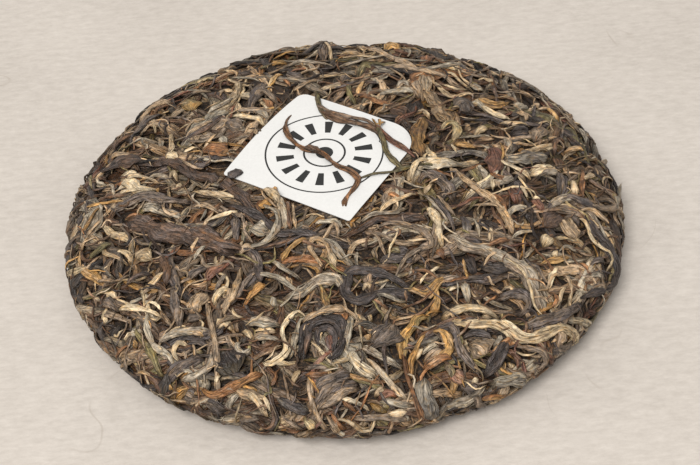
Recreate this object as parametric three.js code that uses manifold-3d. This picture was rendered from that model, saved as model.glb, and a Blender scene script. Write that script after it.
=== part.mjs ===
// A pressed tea cake: a domed disc of twisted leaves with a paper ticket bedded in its top.
// Millimetres, +Z up, the flat underside on z = 0 and the middle of the disc on the Z axis.
import * as THREE from "three";
import { mergeVertices } from "three/addons/utils/BufferGeometryUtils.js";
import Module from "manifold-3d";

// The disc over its leaves.
const CAKE_RADIUS = 100;
const CAKE_HEIGHT = 26;
const WIDEST_AT = 9.5;
const TOP_POWER = 3.2;
const TOP_ROOT = 1.9;
const FLAT_RADIUS = 80;
const HOLLOW_RADIUS = 26;
const HOLLOW_DEPTH = 6;

// The solid core stays this far under the leaves' tops.
const CORE_INSET = 2.2;
const CORE_SEGMENTS = 40;
const CORE_RINGS = [0, 10, 17, 23, 28, 32, 36, 41, 46, 51, 54, 57, 59];

// The ticket: a thin square sheet pressed into the leaves, turned about the vertical.
const TICKET_SIDE = 52;
const TICKET_THICKNESS = 0.5;
const TICKET_CENTRE = new THREE.Vector2(-4.7, 17.3);
const TICKET_TURN = THREE.MathUtils.degToRad(-34);
const TICKET_DEPTH = 0.8;
const TICKET_CELLS = 8;

// Clear air between pieces that touch.
const GAP = 0.3;

// A strand's upper face against its lower one.
const TOP_NARROWING = 0.7;

const GOLDEN_ANGLE = Math.PI * (3 - Math.sqrt(5));
const SEED = 357;

const wasm = await Module();
wasm.setup();

// A repeatable random number from 0 to 1.
let randomState = SEED;
function random() {
  randomState = (randomState + 0x6d2b79f5) | 0;
  let t = Math.imul(randomState ^ (randomState >>> 15), 1 | randomState);
  t = (t + Math.imul(t ^ (t >>> 7), 61 | t)) ^ t;
  return ((t ^ (t >>> 14)) >>> 0) / 4294967296;
}

function between(low, high) {
  return low + (high - low) * random();
}

// Height of the domed top at a radius.
function topHeight(radius) {
  const fall = Math.max(0, 1 - (radius / CAKE_RADIUS) ** TOP_POWER);
  return WIDEST_AT + (CAKE_HEIGHT - WIDEST_AT) * fall ** (1 / TOP_ROOT);
}

// The skin's profile from the top's middle over the rim to the underside's middle.
function skinProfile() {
  const points = [];
  for (let i = 0; i <= 36; i += 1) {
    const radius = CAKE_RADIUS * Math.sin((i / 36) * (Math.PI / 2));
    points.push({ radius, z: topHeight(radius) });
  }
  for (let i = 1; i <= 10; i += 1) {
    const turn = (i / 10) * (Math.PI / 2);
    const radius = FLAT_RADIUS + (CAKE_RADIUS - FLAT_RADIUS) * Math.cos(turn);
    points.push({ radius, z: WIDEST_AT * (1 - Math.sin(turn)) });
  }
  for (let i = 1; i <= 5; i += 1) {
    points.push({ radius: THREE.MathUtils.lerp(FLAT_RADIUS, HOLLOW_RADIUS, i / 5), z: 0 });
  }
  for (let i = 1; i <= 8; i += 1) {
    const radius = HOLLOW_RADIUS * (1 - i / 8);
    const rise = 0.5 + 0.5 * Math.cos((Math.PI * radius) / HOLLOW_RADIUS);
    points.push({ radius, z: HOLLOW_DEPTH * rise });
  }
  let along = 0;
  points.forEach((point, i) => {
    const last = points[Math.max(i - 1, 0)];
    along += Math.hypot(point.radius - last.radius, point.z - last.z);
    point.along = along;
  });
  points.forEach((point, i) => {
    const before = points[Math.max(i - 1, 0)];
    const after = points[Math.min(i + 1, points.length - 1)];
    const length = Math.hypot(after.radius - before.radius, after.z - before.z);
    point.outR = -(after.z - before.z) / length;
    point.outZ = (after.radius - before.radius) / length;
  });
  points[0].outR = 0;
  points[0].outZ = 1;
  points[points.length - 1].outR = 0;
  points[points.length - 1].outZ = -1;
  return points;
}

const SKIN = skinProfile();
const SKIN_LENGTH = SKIN[SKIN.length - 1].along;

// Radius, height and outward direction of the skin at a distance from the top's middle.
function skinAt(distance) {
  const along = THREE.MathUtils.clamp(distance, 0, SKIN_LENGTH);
  let i = 1;
  while (i < SKIN.length - 1 && SKIN[i].along < along) {
    i += 1;
  }
  const a = SKIN[i - 1];
  const b = SKIN[i];
  const part = (along - a.along) / (b.along - a.along);
  return {
    radius: THREE.MathUtils.lerp(a.radius, b.radius, part),
    z: THREE.MathUtils.lerp(a.z, b.z, part),
    outR: THREE.MathUtils.lerp(a.outR, b.outR, part),
    outZ: THREE.MathUtils.lerp(a.outZ, b.outZ, part),
  };
}

// Carries a point of a flat map, laid round the top's or the underside's middle, onto the skin.
function onSkin(side, x, y) {
  const reach = Math.hypot(x, y);
  const turn = Math.atan2(y, x);
  const skin = skinAt(side === "top" ? reach : SKIN_LENGTH - reach);
  const point = new THREE.Vector3(Math.cos(turn) * skin.radius, Math.sin(turn) * skin.radius, skin.z);
  const out = new THREE.Vector3(Math.cos(turn) * skin.outR, Math.sin(turn) * skin.outR, skin.outZ);
  return { point, out: out.normalize() };
}

// Solids and meshes.
function solidOf(geometry) {
  const bare = geometry.clone();
  bare.deleteAttribute("normal");
  bare.deleteAttribute("uv");
  const merged = mergeVertices(bare, 1e-4);
  return new wasm.Manifold(
    new wasm.Mesh({
      numProp: 3,
      vertProperties: new Float32Array(merged.attributes.position.array),
      triVerts: new Uint32Array(merged.index.array),
    }),
  );
}

// The largest body of a solid: loose scraps are dropped and sealed hollows are filled.
function mainBody(solid) {
  const bodies = solid.decompose();
  return bodies.reduce((best, body) => (body.volume() > best.volume() ? body : best));
}

function meshOf(name, solid, colour, roughness) {
  const { vertProperties, triVerts, numProp } = solid.getMesh();
  const positions = new Float32Array((vertProperties.length / numProp) * 3);
  for (let i = 0; i < positions.length; i += 1) {
    positions[i] = vertProperties[Math.floor(i / 3) * numProp + (i % 3)];
  }
  const geometry = new THREE.BufferGeometry();
  geometry.setAttribute("position", new THREE.BufferAttribute(positions, 3));
  geometry.setIndex(new THREE.BufferAttribute(new Uint32Array(triVerts), 1));
  geometry.computeVertexNormals();
  const material = new THREE.MeshStandardMaterial({ color: colour, roughness, metalness: 0 });
  const mesh = new THREE.Mesh(geometry, material);
  mesh.name = name;
  return mesh;
}

// A strand's run, in radians, at a share of its length: a bend and a sway, or even steps of runs.
function runAt({ heading, bend = 0, sway = 0, runs }, share) {
  if (!runs) {
    return heading + bend * (share - 0.5) + sway * Math.sin(Math.PI * 2 * share);
  }
  const place = share * (runs.length - 1);
  const i = Math.min(Math.floor(place), runs.length - 2);
  return THREE.MathUtils.degToRad(THREE.MathUtils.lerp(runs[i], runs[i + 1], place - i));
}

// A strand's middle line on the flat map, from its start or about its middle.
function strandLine(strand, steps) {
  const { at, start, length } = strand;
  const fine = steps * 4;
  const xs = [0];
  const ys = [0];
  for (let i = 0; i < fine; i += 1) {
    const run = runAt(strand, (i + 0.5) / fine);
    xs.push(xs[i] + (Math.cos(run) * length) / fine);
    ys.push(ys[i] + (Math.sin(run) * length) / fine);
  }
  const held = start ? 0 : fine / 2;
  const [x, y] = start ?? at;
  return Array.from({ length: steps + 1 }, (_, i) => [
    x + xs[i * 4] - xs[held],
    y + ys[i * 4] - ys[held],
  ]);
}

// A leaf strand laid along the skin: a ridged section that narrows to both ends, where it dips.
function strandSolid(strand) {
  const { side = "top", width, thickness, twist = 0, depth = 0, dip = 1.6 } = strand;
  const steps = strand.steps ?? Math.max(4, Math.round(strand.length / 8));
  const line = strandLine(strand, steps);
  const spine = line.map(([x, y]) => onSkin(side, x, y));
  const shape = new THREE.CylinderGeometry(0.5, 0.5, 1, 4, steps, false, Math.PI / 4);
  const positions = shape.attributes.position;
  for (let i = 0; i < positions.count; i += 1) {
    const t = positions.getY(i) + 0.5;
    const k = Math.round(t * steps);
    const { point, out } = spine[k];
    const before = spine[Math.max(k - 1, 0)].point;
    const after = spine[Math.min(k + 1, steps)].point;
    const ahead = after.clone().sub(before).normalize();
    const across = ahead.clone().cross(out).normalize();
    const end = Math.abs(2 * t - 1);
    const taper = Math.max(0.3, 1 - end ** 3);
    const roll = twist * (t - 0.5);
    const crown = positions.getZ(i) > 0 ? TOP_NARROWING : 1;
    const u = positions.getX(i) * Math.SQRT2 * width * taper * crown;
    const v = positions.getZ(i) * Math.SQRT2 * thickness * taper;
    const sideways = u * Math.cos(roll) - v * Math.sin(roll);
    const outwards = u * Math.sin(roll) + v * Math.cos(roll);
    const lift = outwards - thickness / 2 - depth - dip * end ** 4;
    const place = point.clone().addScaledVector(across, sideways).addScaledVector(out, lift);
    positions.setXYZ(i, place.x, place.y, place.z);
  }
  return solidOf(shape);
}

// The general run of the leaves over the top: they flow in bundles and follow the rim at the edge.
function flow(x, y) {
  const drift = -0.5 + 0.9 * Math.sin(x / 34 + 1.1) + 0.8 * Math.cos(y / 29 - 0.4);
  const along = Math.atan2(y, x) + Math.PI / 2;
  const nearRim = THREE.MathUtils.smoothstep(Math.hypot(x, y), 72, 94);
  const gap = Math.atan2(Math.sin(along - drift), Math.cos(along - drift));
  return drift + gap * nearRim;
}

const KINDS = {
  leaf: { length: [32, 44], width: [7, 9.5], thickness: [2.1, 2.6], twist: 0.5 },
  rolled: { length: [26, 38], width: [3.6, 5], thickness: [2.8, 3.4], twist: 2.2 },
  stem: { length: [20, 30], width: [2.3, 2.8], thickness: [2.3, 2.8], twist: 1.0 },
};

function strandOfKind(kind, side, at, heading) {
  const sizes = KINDS[kind];
  return {
    side,
    at,
    heading,
    bend: between(-1.1, 1.1),
    sway: between(-0.35, 0.35),
    length: between(...sizes.length),
    width: between(...sizes.width),
    thickness: between(...sizes.thickness),
    twist: between(-sizes.twist, sizes.twist),
    depth: between(0, 0.6),
  };
}

// Spreads strands evenly between two distances from a map's middle, largest kind first.
function spread(side, inner, outer, counts, headingAt) {
  const strands = [];
  const total = Object.values(counts).reduce((sum, count) => sum + count, 0);
  const places = Array.from({ length: total }, (_, i) => {
    const reach = Math.sqrt(THREE.MathUtils.lerp(inner ** 2, outer ** 2, (i + 0.5) / total));
    const turn = i * GOLDEN_ANGLE;
    return [reach * Math.cos(turn), reach * Math.sin(turn)];
  });
  const order = places.map((_, i) => (i * 7) % total);
  let next = 0;
  for (const [kind, count] of Object.entries(counts)) {
    for (let i = 0; i < count; i += 1) {
      const [x, y] = places[order[next]];
      next += 1;
      strands.push(strandOfKind(kind, side, [x, y], headingAt(x, y) + between(-0.5, 0.5)));
    }
  }
  return strands;
}

// Strands that stand out on the top, each with its middle on the flat map and its run in degrees.
const STANDING_OUT = [
  {
    start: [30, -64],
    runs: [-20, -10, -12, -30, 10, 27, -10, -110],
    length: 56,
    width: 5.4,
    thickness: 3,
    steps: 8,
  },
  { at: [46, -61], run: -8, length: 32, width: 3.4, thickness: 2.8, bend: -40 },
  { at: [47, -80], run: -124, length: 20, width: 7, thickness: 2.4 },
  { at: [-58, -17], run: -31, length: 52, width: 12, thickness: 2.4, bend: 12 },
  { at: [-44, 6], run: -40, length: 58, width: 9, thickness: 2.8, bend: -45 },
  { at: [11, -43], run: -12, length: 26, width: 4, thickness: 3, bend: -30 },
  { at: [8, -56], run: -12, length: 28, width: 4, thickness: 3.2, bend: 60 },
  { at: [54, -42], run: -46, length: 50, width: 8, thickness: 2.8, bend: -50 },
  { at: [93, -28], run: -60, length: 34, width: 9, thickness: 2.8, bend: -50 },
  { at: [-12, -47], run: 4, length: 24, width: 7, thickness: 2.6, bend: 30 },
  { at: [12, -21], run: 20, length: 32, width: 5, thickness: 3, bend: -25 },
  { at: [-57, -41], run: -85, length: 32, width: 3.4, thickness: 3.4, twist: 3 },
  { at: [-22, -68], run: -112, length: 25, width: 3.8, thickness: 3.2, sway: -0.6 },
  { at: [-39, -84], run: 5, length: 28, width: 8, thickness: 2.6, bend: 50 },
  { at: [-33, -27], run: 10, length: 24, width: 6, thickness: 3, bend: 60 },
  { at: [-44, -68], run: -86, length: 34, width: 2.6, thickness: 2.6 },
  { at: [37, 8], run: 14, length: 32, width: 7, thickness: 2.6, bend: -30 },
  { at: [-3, -89], run: 28, length: 24, width: 7, thickness: 2.6, bend: -20 },
];

// Strands that reach over the ticket's edges and hold it down.
const OVER_TICKET = [
  { at: [-37, 13], run: 40, length: 16, width: 5, thickness: 2, depth: -1 },
  { at: [-22, 1], run: 12, length: 18, width: 4, thickness: 2.2, depth: -1 },
  { at: [27, 18], run: -70, length: 26, width: 6, thickness: 2.2, depth: -1 },
  { at: [-8, 53], run: -10, length: 22, width: 5, thickness: 2.2, depth: -1 },
  {
    start: [-8, 58],
    runs: [-80, -84, -66, -26, -25, -36, -51, -47, -41],
    length: 66,
    width: 2.2,
    thickness: 2,
    depth: -1.4,
    twist: 2,
    dip: 3.4,
    steps: 10,
  },
  {
    start: [14, 28],
    runs: [-74, -80, -80, -70, -20],
    length: 28,
    width: 1.8,
    thickness: 1.8,
    depth: -1.2,
    dip: 2.4,
    steps: 5,
  },
];

// The loose strand that lies on the ticket, both ends free.
const LOOSE_STRAND = {
  start: [-15.3, 41.4],
  runs: [-116, -89, -66, -36, -50, -48, -79, -118, -84],
  length: 66,
  width: 2.3,
  thickness: 2,
  twist: 2.4,
  steps: 16,
  dip: 0,
};

// A row of the lists above as a strand of the top.
function shownStrand(row) {
  const radians = THREE.MathUtils.degToRad;
  return { ...row, heading: radians(row.run ?? 0), bend: radians(row.bend ?? 0) };
}

// A square sheet that follows the domed top, from one depth under it to another.
function sheetSolid(side, low, high, cells) {
  const sheet = new THREE.BoxGeometry(side, side, 1, cells, cells, 1);
  const positions = sheet.attributes.position;
  for (let i = 0; i < positions.count; i += 1) {
    const flat = new THREE.Vector2(positions.getX(i), positions.getY(i));
    const wave = 0.12 * Math.sin(flat.x / 9) * Math.cos(flat.y / 11);
    flat.rotateAround(new THREE.Vector2(), TICKET_TURN).add(TICKET_CENTRE);
    const level = positions.getZ(i) > 0 ? high : low;
    positions.setXYZ(i, flat.x, flat.y, topHeight(flat.length()) + level + wave);
  }
  return solidOf(sheet);
}

function coreSolid() {
  const profile = CORE_RINGS.map((i) => {
    const { radius, z, outR, outZ } = SKIN[i];
    return new THREE.Vector2(radius - outR * CORE_INSET, z - outZ * CORE_INSET);
  }).reverse();
  profile[0].x = 0;
  profile[profile.length - 1].x = 0;
  return solidOf(new THREE.LatheGeometry(profile, CORE_SEGMENTS).rotateX(Math.PI / 2));
}

// Everything below the resting plane, to trim the underside's leaves flat.
function groundSolid() {
  const depth = 20;
  return solidOf(new THREE.BoxGeometry(260, 260, depth).translate(0, 0, -depth / 2));
}

const underFlow = (x, y) => Math.atan2(y, x) + Math.PI / 2 + 0.7 * Math.sin(x / 23) + 0.5;

const strands = [
  ...STANDING_OUT.map(shownStrand),
  ...spread("top", 0, 88, { leaf: 12, rolled: 22, stem: 4 }, flow),
  ...spread("top", 90, 112, { leaf: 8, rolled: 18 }, flow),
  ...spread("under", 28, 92, { leaf: 10, rolled: 12 }, underFlow),
  { side: "under", at: [55, 0], heading: 1.6, length: 40, width: 14, thickness: 2.8, depth: -0.6 },
];

const ticketLow = -TICKET_DEPTH - TICKET_THICKNESS;
const ticketBed = sheetSolid(TICKET_SIDE + 2 * GAP, ticketLow - GAP, -TICKET_DEPTH + GAP, TICKET_CELLS);
const ticketSight = sheetSolid(TICKET_SIDE + 2 * GAP, ticketLow - GAP, 12, TICKET_CELLS);

let cake = strands.reduce((sum, strand) => sum.add(strandSolid(strand)), coreSolid());
cake = cake.subtract(ticketSight);
cake = OVER_TICKET.map(shownStrand).reduce((sum, strand) => sum.add(strandSolid(strand)), cake);

const looseLift = TICKET_DEPTH - GAP - LOOSE_STRAND.thickness;
const loose = strandSolid({ ...shownStrand(LOOSE_STRAND), depth: looseLift }).subtract(ticketBed);
const looseRoom = strandSolid({
  ...shownStrand(LOOSE_STRAND),
  width: LOOSE_STRAND.width + 4 * GAP,
  thickness: LOOSE_STRAND.thickness + 4 * GAP,
  depth: looseLift - 2 * GAP,
});
cake = mainBody(cake.subtract(ticketBed).subtract(looseRoom).subtract(groundSolid()));
const ticket = sheetSolid(TICKET_SIDE, ticketLow, -TICKET_DEPTH, TICKET_CELLS);

const teaCake = new THREE.Group();
teaCake.name = "tea_cake";
teaCake.add(meshOf("leaf_cake", cake, 0x74644f, 0.6));
teaCake.add(meshOf("paper_ticket", ticket, 0xeceae6, 0.85));
teaCake.add(meshOf("strand_on_ticket", loose, 0x8a5f36, 0.6));

export default teaCake;
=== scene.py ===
"""A pressed tea cake with a square paper ticket bedded in its top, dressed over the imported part."""

from __future__ import annotations

import logging
import math
from dataclasses import dataclass, field, replace
from enum import Enum
from functools import cached_property

import bpy
import numpy as np
from mathutils import Matrix, Vector


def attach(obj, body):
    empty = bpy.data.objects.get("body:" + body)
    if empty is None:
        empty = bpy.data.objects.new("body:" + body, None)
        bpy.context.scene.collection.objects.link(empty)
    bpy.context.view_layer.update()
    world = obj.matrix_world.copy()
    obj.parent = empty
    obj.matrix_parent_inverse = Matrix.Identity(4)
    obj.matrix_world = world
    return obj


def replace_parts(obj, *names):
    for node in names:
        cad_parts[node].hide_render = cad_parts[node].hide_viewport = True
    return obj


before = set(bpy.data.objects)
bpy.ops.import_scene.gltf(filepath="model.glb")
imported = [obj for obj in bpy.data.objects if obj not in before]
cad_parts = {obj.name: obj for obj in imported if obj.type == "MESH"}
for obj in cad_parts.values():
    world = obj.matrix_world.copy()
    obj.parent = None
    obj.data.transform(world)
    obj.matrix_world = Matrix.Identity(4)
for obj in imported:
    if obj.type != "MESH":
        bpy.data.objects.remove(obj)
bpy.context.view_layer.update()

logging.basicConfig(level=logging.INFO, format="%(message)s")
LOG = logging.getLogger("tea_cake")

MM = 0.001
ROOT = "root"
CAKE_NODE = "leaf_cake"
TICKET_NODE = "paper_ticket"
LOOSE_NODE = "strand_on_ticket"
GOLDEN_ANGLE = math.pi * (3 - math.sqrt(5))
PHOTO_SIZE = (700, 465)
SEED = 357
Pair = tuple[float, float]
Triple = tuple[float, float, float]
Array = np.ndarray
Piece = bpy.types.Object
Material = bpy.types.Material
Socket = bpy.types.NodeSocket
Fold = tuple[Array, Array, Array]


def linear(red: float, green: float, blue: float) -> Triple:
    """Turns a screen colour of 0 to 255 into linear light."""
    return tuple(((c / 255 + 0.055) / 1.055) ** 2.4 for c in (red, green, blue))


class Side(Enum):
    """The two flat maps that the leaves are laid out on."""

    TOP = "top"
    UNDER = "under"


class Tone(Enum):
    """The colours that dried leaves have, as on the screen."""

    SLATE = (78, 70, 67)
    CHARCOAL = (54, 46, 42)
    UMBER = (95, 70, 50)
    TAUPE = (122, 106, 90)
    ASH = (152, 142, 125)
    TAN = (160, 137, 110)
    STRAW = (184, 164, 132)
    BONE = (214, 194, 162)
    RUST = (131, 92, 60)
    GOLDEN = (158, 122, 72)
    RED_BROWN = (108, 74, 60)
    OLIVE = (113, 103, 68)

    @property
    def light(self) -> Array:
        """The tone in linear light."""
        return np.array(linear(*self.value))


class Form(Enum):
    """How a leaf has dried."""

    ROLLED = "rolled"
    RIBBON = "ribbon"
    BLADE = "blade"


@dataclass(frozen=True)
class Skin:
    """The outer skin of the cake, a shape of revolution, in millimetres."""

    radius: float = 100.0
    height: float = 26.0
    widest_at: float = 9.5
    top_power: float = 3.2
    top_root: float = 1.9
    flat_radius: float = 80.0
    hollow_radius: float = 26.0
    hollow_depth: float = 6.0

    def top(self, radius: Array) -> Array:
        """Gives the height of the domed top at distances from the axis."""
        fall = np.maximum(0.0, 1 - (np.minimum(radius, self.radius) / self.radius) ** self.top_power)
        return self.widest_at + (self.height - self.widest_at) * fall ** (1 / self.top_root)

    def bottom(self, radius: Array) -> Array:
        """Gives the height of the underside at distances from the axis."""
        reach = np.clip((radius - self.flat_radius) / (self.radius - self.flat_radius), 0, 1)
        rim = self.widest_at * (1 - np.sqrt(1 - reach**2))
        inner = np.clip(radius / self.hollow_radius, 0, 1)
        return rim + self.hollow_depth * (0.5 + 0.5 * np.cos(np.pi * inner))

    @cached_property
    def table(self) -> dict[str, Array]:
        """The profile from the top's middle over the rim to the underside's middle."""
        round_steps, flat_steps = 500, 400
        sweep = np.linspace(0, np.pi / 2, round_steps)
        radius = [self.radius * np.sin(sweep)]
        z = [self.top(radius[0])]
        turn = sweep[1:]
        radius.append(self.flat_radius + (self.radius - self.flat_radius) * np.cos(turn))
        z.append(self.widest_at * (1 - np.sin(turn)))
        radius.append(np.linspace(self.flat_radius, 0, flat_steps)[1:])
        z.append(self.bottom(radius[2]))
        radius, z = np.concatenate(radius), np.concatenate(z)
        along = np.r_[0, np.cumsum(np.hypot(np.diff(radius), np.diff(z)))]
        out_r, out_z = -np.gradient(z, along), np.gradient(radius, along)
        size = np.hypot(out_r, out_z)
        return {"along": along, "radius": radius, "z": z, "out_r": out_r / size, "out_z": out_z / size}

    def lift(self, side: Side, flat: Array) -> tuple[Array, Array]:
        """Carries points of a flat map onto the skin.

        Args:
            side: The map they are on.
            flat: Their places on it, one row each.

        Returns:
            The points on the skin and the outward directions there.
        """
        table = self.table
        reach = np.hypot(flat[..., 0], flat[..., 1])
        turn = np.arctan2(flat[..., 1], flat[..., 0])
        along = reach if side is Side.TOP else table["along"][-1] - reach
        radius, z, out_r, out_z = (
            np.interp(along, table["along"], table[key]) for key in ("radius", "z", "out_r", "out_z")
        )
        cos, sin = np.cos(turn), np.sin(turn)
        points = np.stack([cos * radius, sin * radius, z], axis=-1)
        return points, np.stack([cos * out_r, sin * out_r, out_z], axis=-1)

    def flatten(self, point: Array) -> Array:
        """Carries a point near the skin back to the top's flat map.

        Args:
            point: The point.

        Returns:
            Its place on the map.
        """
        radius = math.hypot(point[0], point[1])
        near = np.argmin(np.hypot(self.table["radius"] - radius, self.table["z"] - point[2]))
        return point[:2] / max(radius, 1e-6) * self.table["along"][near]


@dataclass(frozen=True)
class Viewpoint:
    """The photograph's camera, in millimetres and degrees."""

    target: Triple = (2.17, -11.66, 13.0)
    elevation: float = 43.84
    roll: float = -4.22
    distance: float = 582.3
    lens: float = 85.0
    sensor: float = 36.0
    search: float = 140.0
    search_step: float = 0.1

    @cached_property
    def axes(self) -> Array:
        """The camera's right, up and backward directions, one row each."""
        tilt, roll = math.radians(self.elevation), math.radians(self.roll)
        back = np.array([0.0, -math.cos(tilt), math.sin(tilt)])
        right = np.array([1.0, 0.0, 0.0])
        up = np.cross(back, right)
        turned = math.cos(roll) * right + math.sin(roll) * up
        return np.array([turned, np.cross(back, turned), back])

    @property
    def place(self) -> Array:
        """Where the camera stands."""
        return np.array(self.target) + self.distance * self.axes[2]

    def on_skin(self, pixel: Pair, skin: Skin) -> Array:
        """Finds what a pixel of the photograph shows of the skin.

        Args:
            pixel: Its column and row.
            skin: The skin it looks at.

        Returns:
            The place on the top's flat map.
        """
        scale = self.lens / self.sensor * PHOTO_SIZE[0]
        across = (pixel[0] - PHOTO_SIZE[0] / 2) / scale
        down = (pixel[1] - PHOTO_SIZE[1] / 2) / scale
        ray = across * self.axes[0] - down * self.axes[1] - self.axes[2]
        steps = np.arange(self.distance - self.search, self.distance + self.search, self.search_step)
        points = self.place + steps[:, None] * ray
        radius, z = np.hypot(points[:, 0], points[:, 1]), points[:, 2]
        inside = (radius < skin.radius) & (z < skin.top(radius)) & (z > skin.bottom(radius))
        if inside.any():
            return skin.flatten(points[inside.argmax()])
        gap = np.abs(radius - skin.radius) + np.abs(z - skin.widest_at)
        return skin.flatten(points[gap.argmin()])

    def build(self) -> Piece:
        """Adds the camera to the scene and makes it the scene's own, with its clipping in metres."""
        data = bpy.data.cameras.new("camera")
        data.lens, data.sensor_width, data.sensor_fit = self.lens, self.sensor, "HORIZONTAL"
        data.clip_start, data.clip_end = 0.05, 20
        camera = bpy.data.objects.new("camera", data)
        turn = Matrix(self.axes.T.tolist()).to_4x4()
        camera.matrix_world = Matrix.Translation(Vector(self.place * MM)) @ turn
        bpy.context.scene.collection.objects.link(camera)
        bpy.context.scene.camera = camera
        return camera


def smooth_noise(rng: np.random.Generator, at: Array, wave: float) -> Array:
    """Draws a smooth random curve of about -1 to 1.

    Args:
        rng: The source of chance.
        at: Where its values are wanted, in millimetres.
        wave: The length of its main wave, in millimetres.

    Returns:
        One value for each place.
    """
    total = np.zeros_like(at)
    for octave, share in ((1.0, 0.55), (1.9, 0.3), (3.3, 0.15)):
        total += share * np.sin(2 * np.pi * octave * at / wave + rng.uniform(0, 2 * np.pi))
    return total


@dataclass
class Bed:
    """How high the leaves already lie over one flat map, against the skin, in millimetres."""

    floor: float = -3.6
    reach: float = 126.0
    cell: float = 0.6
    heights: Array = field(init=False)

    def __post_init__(self) -> None:
        """Starts with a bare core."""
        size = int(2 * self.reach / self.cell) + 1
        self.heights = np.full((size, size), self.floor)

    def cells(self, flat: Array) -> tuple[Array, Array]:
        """Gives the rows and columns of places on the map."""
        index = np.rint((flat + self.reach) / self.cell).astype(int)
        index = np.clip(index, 0, len(self.heights) - 1)
        return index[..., 0], index[..., 1]

    def under(self, flat: Array) -> Array:
        """Reads the heights at places on the map."""
        return self.heights[self.cells(flat)]

    def cover(self, flat: Array, level: Array) -> None:
        """Raises the bed to the top of what was laid, without gaps between its stations.

        Args:
            flat: The places covered, as stations by places across by two.
            level: The height there.
        """
        far = np.hypot(*(flat[1:] - flat[:-1]).T).max(initial=self.cell)
        share = np.linspace(0, 1, math.ceil(2 * far / self.cell) + 1)[:, None, None]
        between = flat[:-1] + share[..., None] * (flat[1:] - flat[:-1])
        np.maximum.at(self.heights, self.cells(between), level[:-1] + share * (level[1:] - level[:-1]))


@dataclass(frozen=True)
class LeafKind:
    """The sizes that one kind of dried leaf comes in, in millimetres, and how it folds and bends."""

    form: Form
    length: Pair
    width: Pair
    flatness: Pair
    tones: tuple[tuple[Tone, float], ...]
    second: tuple[Tone, ...]
    folds: tuple[int, int] = (2, 3)
    twist: float = 0.03
    bend: float = 1.2
    hooks: float = 0.25
    tip: float = 0.3
    sides: int = 8
    pitch: float = 2.2


SLATE, CHARCOAL, UMBER, TAUPE, ASH, TAN, STRAW, BONE, RUST, GOLDEN, RED_BROWN, OLIVE = Tone
DARK = ((SLATE, 3.0), (CHARCOAL, 3.0), (UMBER, 2.4), (TAUPE, 2.0), (RED_BROWN, 0.5))
MIXED = (
    (TAUPE, 3.0), (ASH, 2.0), (TAN, 1.4), (UMBER, 2.2), (SLATE, 2.0), (OLIVE, 1.1), (GOLDEN, 0.6),
    (RUST, 0.4),
)
LIGHT = ((ASH, 2.4), (TAN, 2.0), (STRAW, 1.6), (GOLDEN, 1.0), (OLIVE, 1.0), (RUST, 0.5))

ROLLED_LEAF = LeafKind(
    Form.ROLLED, length=(20, 44), width=(2.2, 4.2), flatness=(0.5, 0.85), tones=DARK,
    second=(TAUPE, ASH, UMBER),
)
RIBBED_LEAF = LeafKind(
    Form.RIBBON, length=(20, 46), width=(2.6, 5.0), flatness=(0.34, 0.55), tones=MIXED,
    second=(TAN, UMBER, SLATE), folds=(2, 4),
)
SLIM_LEAF = replace(RIBBED_LEAF, folds=(1, 2))
PALE_STRIP = LeafKind(
    Form.RIBBON, length=(14, 34), width=(1.8, 3.6), flatness=(0.4, 0.6), tones=LIGHT,
    second=(STRAW, TAUPE), folds=(2, 2), hooks=0.18,
)
BUD = LeafKind(
    Form.ROLLED, length=(12, 24), width=(2.2, 3.4), flatness=(0.6, 0.8),
    tones=((STRAW, 1.5), (TAN, 2.0), (BONE, 0.5)), second=(TAN, GOLDEN),
    folds=(1, 2), twist=0.01, hooks=0.3, tip=0.1,
)
STEM = LeafKind(
    Form.ROLLED, length=(18, 40), width=(1.3, 2.2), flatness=(0.8, 1.0),
    tones=((RED_BROWN, 1.4), (UMBER, 1.6), (TAUPE, 1.8), (RUST, 0.7), (OLIVE, 0.5)), second=(UMBER, TAN),
    folds=(1, 2), twist=0.02, bend=0.5, hooks=0.05, tip=0.7, pitch=2.6,
)
SLIVER = LeafKind(
    Form.RIBBON, length=(7, 27), width=(0.6, 1.5), flatness=(0.5, 0.8), tones=LIGHT + DARK,
    second=(TAN, UMBER), folds=(1, 1), hooks=0.16, tip=0.2, sides=6, pitch=2.0,
)
SHRED = replace(SLIVER, length=(4, 11), width=(0.5, 1.1), pitch=1.5)
BROAD_LEAF = LeafKind(
    Form.BLADE, length=(22, 44), width=(6.0, 10.5), flatness=(0.1, 0.14), tones=MIXED,
    second=(ASH, UMBER), folds=(2, 4), bend=0.7, hooks=0.05, tip=0.2, sides=16, pitch=1.6,
)
CRUMB = LeafKind(
    Form.BLADE, length=(3, 8), width=(1.2, 3.4), flatness=(0.14, 0.2), tones=MIXED + LIGHT,
    second=(TAN, UMBER), folds=(1, 2), hooks=0.0, tip=0.5, sides=10, pitch=1.4,
)

OWN_PIECE = {
    ROLLED_LEAF: "rolled_leaves", RIBBED_LEAF: "ribbed_leaves", PALE_STRIP: "pale_strips", BUD: "buds",
    STEM: "stems", BROAD_LEAF: "broad_leaves", SLIVER: "slivers", SHRED: "shreds", CRUMB: "crumbs",
}


def plain(kind: LeafKind) -> LeafKind:
    """Gives a kind with few corners, for leaves that are mostly covered."""
    return replace(kind, sides=7, folds=(1, 1), pitch=kind.pitch * 1.6)


@dataclass(frozen=True)
class Scattering:
    """One round of leaves, strewn evenly over a ring of a flat map, in one piece or each kind's own."""

    counts: dict[LeafKind, int]
    reach: Pair
    side: Side = Side.TOP
    jitter: float = 0.5
    piece: str | None = None


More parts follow.
